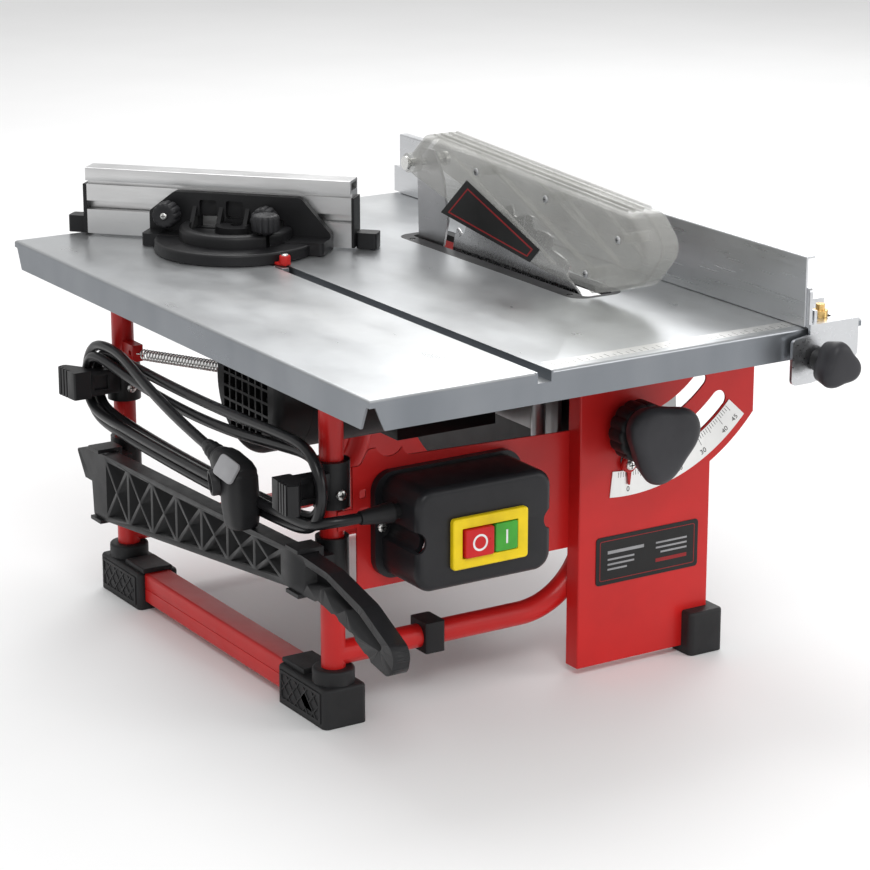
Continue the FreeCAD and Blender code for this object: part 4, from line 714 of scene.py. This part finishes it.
for degrees in range(-4, LAST_TICK + 1):
    long = 8.0 if degrees % 10 == 0 else 5.6 if degrees % 5 == 0 else 3.6
    a = math.radians(degrees)
    outward = Vector((math.sin(a), 0, -math.cos(a)))
    sideways = Vector((math.cos(a), 0, math.sin(a)))
    foot = around_pivot(TICK_R, degrees, SCALE_FACE_Y)
    slab(f"scale_tick_{degrees + 4}", block(0.36, long, 0, long / 2), foot, sideways, outward, 0.05,
         "ink_and_painted_shade", "frame", 0)
for degrees in (0, 10, 20, 30, 40, 45):
    a = math.radians(degrees)
    # The figures draw in slightly towards zero, so that the last one stays on the band.
    drawn_in = degrees - degrees * 0.012
    lettering(f"scale_figure_{degrees}", str(degrees), around_pivot(FIGURE_R, drawn_in, 96.14), 5.2,
              Vector((math.cos(a), 0, math.sin(a))), Vector((-math.sin(a), 0, math.cos(a))),
              "ink_and_painted_shade", "frame")


# ---------------------------------------------------------------- rating plate and switch marks
# Unreadable rules on the rating plate, as middle x, middle z, width and height from its centre.
BADGE_RULES = ((-18, 5.5, 30, 2.2), (-22, 0.5, 22, 1.3), (-22, -3, 22, 1.3), (-25, -6.5, 16, 1.3),
               (20, 5.5, 26, 1.3), (20, 2, 26, 1.3), (22, -1.5, 22, 1.3), (20, -7, 26, 2.6))


def badge():
    """Plain black plate with a thin red line and unreadable rules; the last rule is red."""
    centre = at(275.5, 96.95, 78.5)
    face = centre + FRONT * 0.0005
    slab("badge_plate", rounded(85, 34, 2.6), centre, X, Z, 0.5, "ink_and_painted_shade", "frame", 0.1)
    outline("badge_line", rounded(79, 28.4, 1.6), rounded(78, 27.4, 1.2), face, X, Z, 0.06,
            "dark_red", "frame", "red_paint")
    for i, (x, z, w, h) in enumerate(BADGE_RULES):
        colour = "dark_red" if i == len(BADGE_RULES) - 1 else "plug_grey"
        slab(f"badge_rule_{i}", block(w, h, x, z), face, X, Z, 0.06, colour, "frame", 0)


badge()


def ring_mark(name, centre, outer, inner, material, body, slot):
    """A thin ring that faces the front."""
    steps = 48
    angles = [2 * math.pi * i / steps for i in range(steps)]
    loops = [[(r * math.cos(a), r * math.sin(a)) for a in angles] for r in (outer, inner)]
    return outline(name, *loops, centre, X, Z, 0.08, material, body, slot)


ring_mark("stop_mark", at(112.7, 53.5, 127), 5.6, 4.2, "white", "stop_button", "button_red")
slab("start_mark", block(1.4, 9.2), at(134, 55.2, 127), X, Z, 0.08,
     "white", "start_button", 0)


# ---------------------------------------------------------------- fasteners
FRAME_SCREWS = (("hook_screw_front", at(42, 107, 156), FRONT, 3.6, 2.0),
                ("hook_screw_rear", at(42, 405, 156), FRONT, 3.6, 2.0),
                ("box_screw_left", at(70, 103.4, 131), FRONT, 3.5, 2.0),
                ("box_screw_right", at(172, 103.4, 131), FRONT, 3.5, 2.0),
                ("insert_screw_front", at(248.5, 154, 248.4), Z, 2.0, 1.2),
                ("insert_screw_rear", at(248.5, 356, 248.4), Z, 2.0, 1.2))
heads = [screw(name, place, axis, radius, height, "frame")
         for name, place, axis, radius, height in FRAME_SCREWS]
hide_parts("frame_screws")


# ---------------------------------------------------------------- counter spring
SPRING_START, SPRING_END = at(42, 391, 184), at(76, 288.6, 190)
SPRING_TURNS = 34
SPRING_COIL_R = 0.0036
SPRING_WIRE_R = 0.62


def counter_spring():
    """A close coil between two short straight ends."""
    along, side, up = frame_axes(SPRING_END - SPRING_START)
    coiled = (SPRING_END - SPRING_START).length - 0.008
    steps = SPRING_TURNS * 14
    points = [SPRING_START - along * 0.006 + up * 0.001, SPRING_START - along * 0.002]
    for i in range(steps + 1):
        a = 2 * math.pi * SPRING_TURNS * i / steps
        middle = SPRING_START + along * (0.004 + coiled * i / steps)
        points.append(middle + (side * math.cos(a) + up * math.sin(a)) * SPRING_COIL_R)
    points += [SPRING_END, SPRING_END + along * 0.003]
    spring = curve_piece("counter_spring_coil", points, SPRING_WIRE_R, "zinc", "frame")
    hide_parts("counter_spring")


counter_spring()


# ---------------------------------------------------------------- mitre gauge
MITRE_ANGLE = math.radians(-46.8)
ALONG = Vector((math.cos(MITRE_ANGLE), math.sin(MITRE_ANGLE), 0))
OUTWARD = Vector((-math.sin(MITRE_ANGLE), math.cos(MITRE_ANGLE), 0))
MITRE_KNOB_Z = 272.5
MITRE_KNOBS = (("mitre_knob_left", -52), ("mitre_knob_right", 22))
KNOB_RINGS = [(0, 0.50), (0.5, 0.56), (4.6, 0.56), (5.0, 0.92), (5.8, 1.0), (14.0, 1.0), (15.4, 0.96),
              (16.3, 0.86), (16.6, 0.70), (16.0, 0.55), (16.0, 0.05)]
LOCK_KNOB_RINGS = [(0, 0.4), (1.6, 0.45), (2.2, 0.94), (3, 1.0), (11.5, 1.0), (13, 0.95), (13.8, 0.84),
                   (14, 0.6), (13.4, 0.5), (13.4, 0.05)]
POINTER_FOOT = (127.5, 330)


def mitre_at(u, v, z):
    """A point of the turned gauge: along its fence and out from it, about its pivot."""
    return at(124, 395, z) + ALONG * (u / 1000) + OUTWARD * (v / 1000)


def fluted(radius, count, depth):
    """A round outline with narrow flutes."""
    return lambda a: radius - depth + depth * abs(math.cos(count * a / 2)) ** 0.5


for node, u in MITRE_KNOBS:
    turned(node + "_piece", mitre_at(u, 8.2, MITRE_KNOB_Z), -OUTWARD, KNOB_RINGS, fluted(9.6, 12, 0.9),
           "soft_black", BODY_OF[node], 96, [node])
    screw(node + "_screw", mitre_at(u, -8.2, MITRE_KNOB_Z), -OUTWARD, 2.6, 1.4,
          BODY_OF[node])
turned("mitre_lock_knob_piece", mitre_at(30, -24, 267.6), Z, LOCK_KNOB_RINGS, fluted(10.0, 12, 0.9),
       "soft_black", "mitre_lock", 96, ["mitre_lock_knob"])
slab("mitre_pointer", [(-3, -3), (3, -3), (3.4, 4), (1.2, 12), (-1.2, 12), (-3.4, 4)],
     at(*POINTER_FOOT, 250.3), X * 0.93 + Y * 0.36, Y * 0.93 - X * 0.36, 1.8,
     "red_plastic", "mitre_runner", 0.3)
turned("mitre_pointer_boss", at(*POINTER_FOOT, 251.5), Z, [(0, 1), (5, 1), (5.8, 0.9), (5.8, 0.05)],
       circle(4.0), "red_plastic", "mitre_runner", 40)
screw("mitre_pointer_screw", at(*POINTER_FOOT, 257.2), Z, 2.6, 1.4, "mitre_runner")


# ---------------------------------------------------------------- table print
RULE_LEFT, RULE_RIGHT, RULE_FRONT, RULE_BACK = 134, 330, 7, 19


def rule_band():
    """The printed rule along the front of the table, with plain ticks every 5 mm."""
    band = [(RULE_LEFT, RULE_FRONT), (RULE_RIGHT, RULE_FRONT),
            (RULE_RIGHT, RULE_BACK), (RULE_LEFT, RULE_BACK)]
    slab("table_rule", band, at(0, 0, 250.02), X, Y, 0.03, "scale", "frame", 0)
    for i in range(39):
        long = 6.5 if i % 2 == 0 else 4.0
        tick = block(0.4, long, RULE_LEFT + 4 + 5 * i, RULE_FRONT + 1 + long / 2)
        slab(f"table_rule_tick_{i}", tick, at(0, 0, 250.06), X, Y, 0.02, "ink_and_painted_shade", "frame", 0)


rule_band()


# ---------------------------------------------------------------- studio
WORLD_STRENGTH = 0.66
# Name, place and target in metres, diameter in metres and power in watts.
LIGHTS = (("key", (-0.9, -2.0, 2.3), (0, 0, 0.15), 1.5, 30),
          ("rim", (1.6, 1.6, 1.7), (0, 0, 0.2), 1.4, 16),
          ("fill", (1.9, -1.6, 1.0), (0, 0, 0.15), 1.4, 12),
          ("top", (0.2, 0.9, 2.3), (0, 0, 0.2), 1.5, 20))


def material_floor():
    """Pale paper."""
    n = Nodes("floor_paper")
    n.join(n.ramp(n.noise(3), [(0.3, grey(0.86)), (0.7, grey(0.89))]), n.shader.inputs["Base Color"])
    n.set(Roughness=0.75)
    return n.material


def studio():
    """A plain pale floor, a white world and four soft round lights."""
    scene = bpy.context.scene
    mesh = bpy.data.meshes.new("floor")
    mesh.from_pydata([(-9, -9, 0), (9, -9, 0), (9, 9, 0), (-9, 9, 0)], [], [(0, 1, 2, 3)])
    floor = new_object("floor", mesh)
    floor.location.z = -0.0002
    mesh.materials.append(material_floor())
    world = bpy.data.worlds.new("studio")
    scene.world = world
    world.use_nodes = True
    world.node_tree.nodes["Background"].inputs["Color"].default_value = (1, 1, 1, 1)
    world.node_tree.nodes["Background"].inputs["Strength"].default_value = WORLD_STRENGTH
    for name, place, target, size, power in LIGHTS:
        data = bpy.data.lights.new(name, "AREA")
        data.shape = "DISK"
        data.size = size
        data.energy = power
        light = new_object(name, data)
        light.location = place
        light.rotation_euler = (Vector(target) - Vector(place)).to_track_quat("-Z", "Y").to_euler()
    scene.view_settings.view_transform = "Standard"
    scene.view_settings.look = "None"


studio()
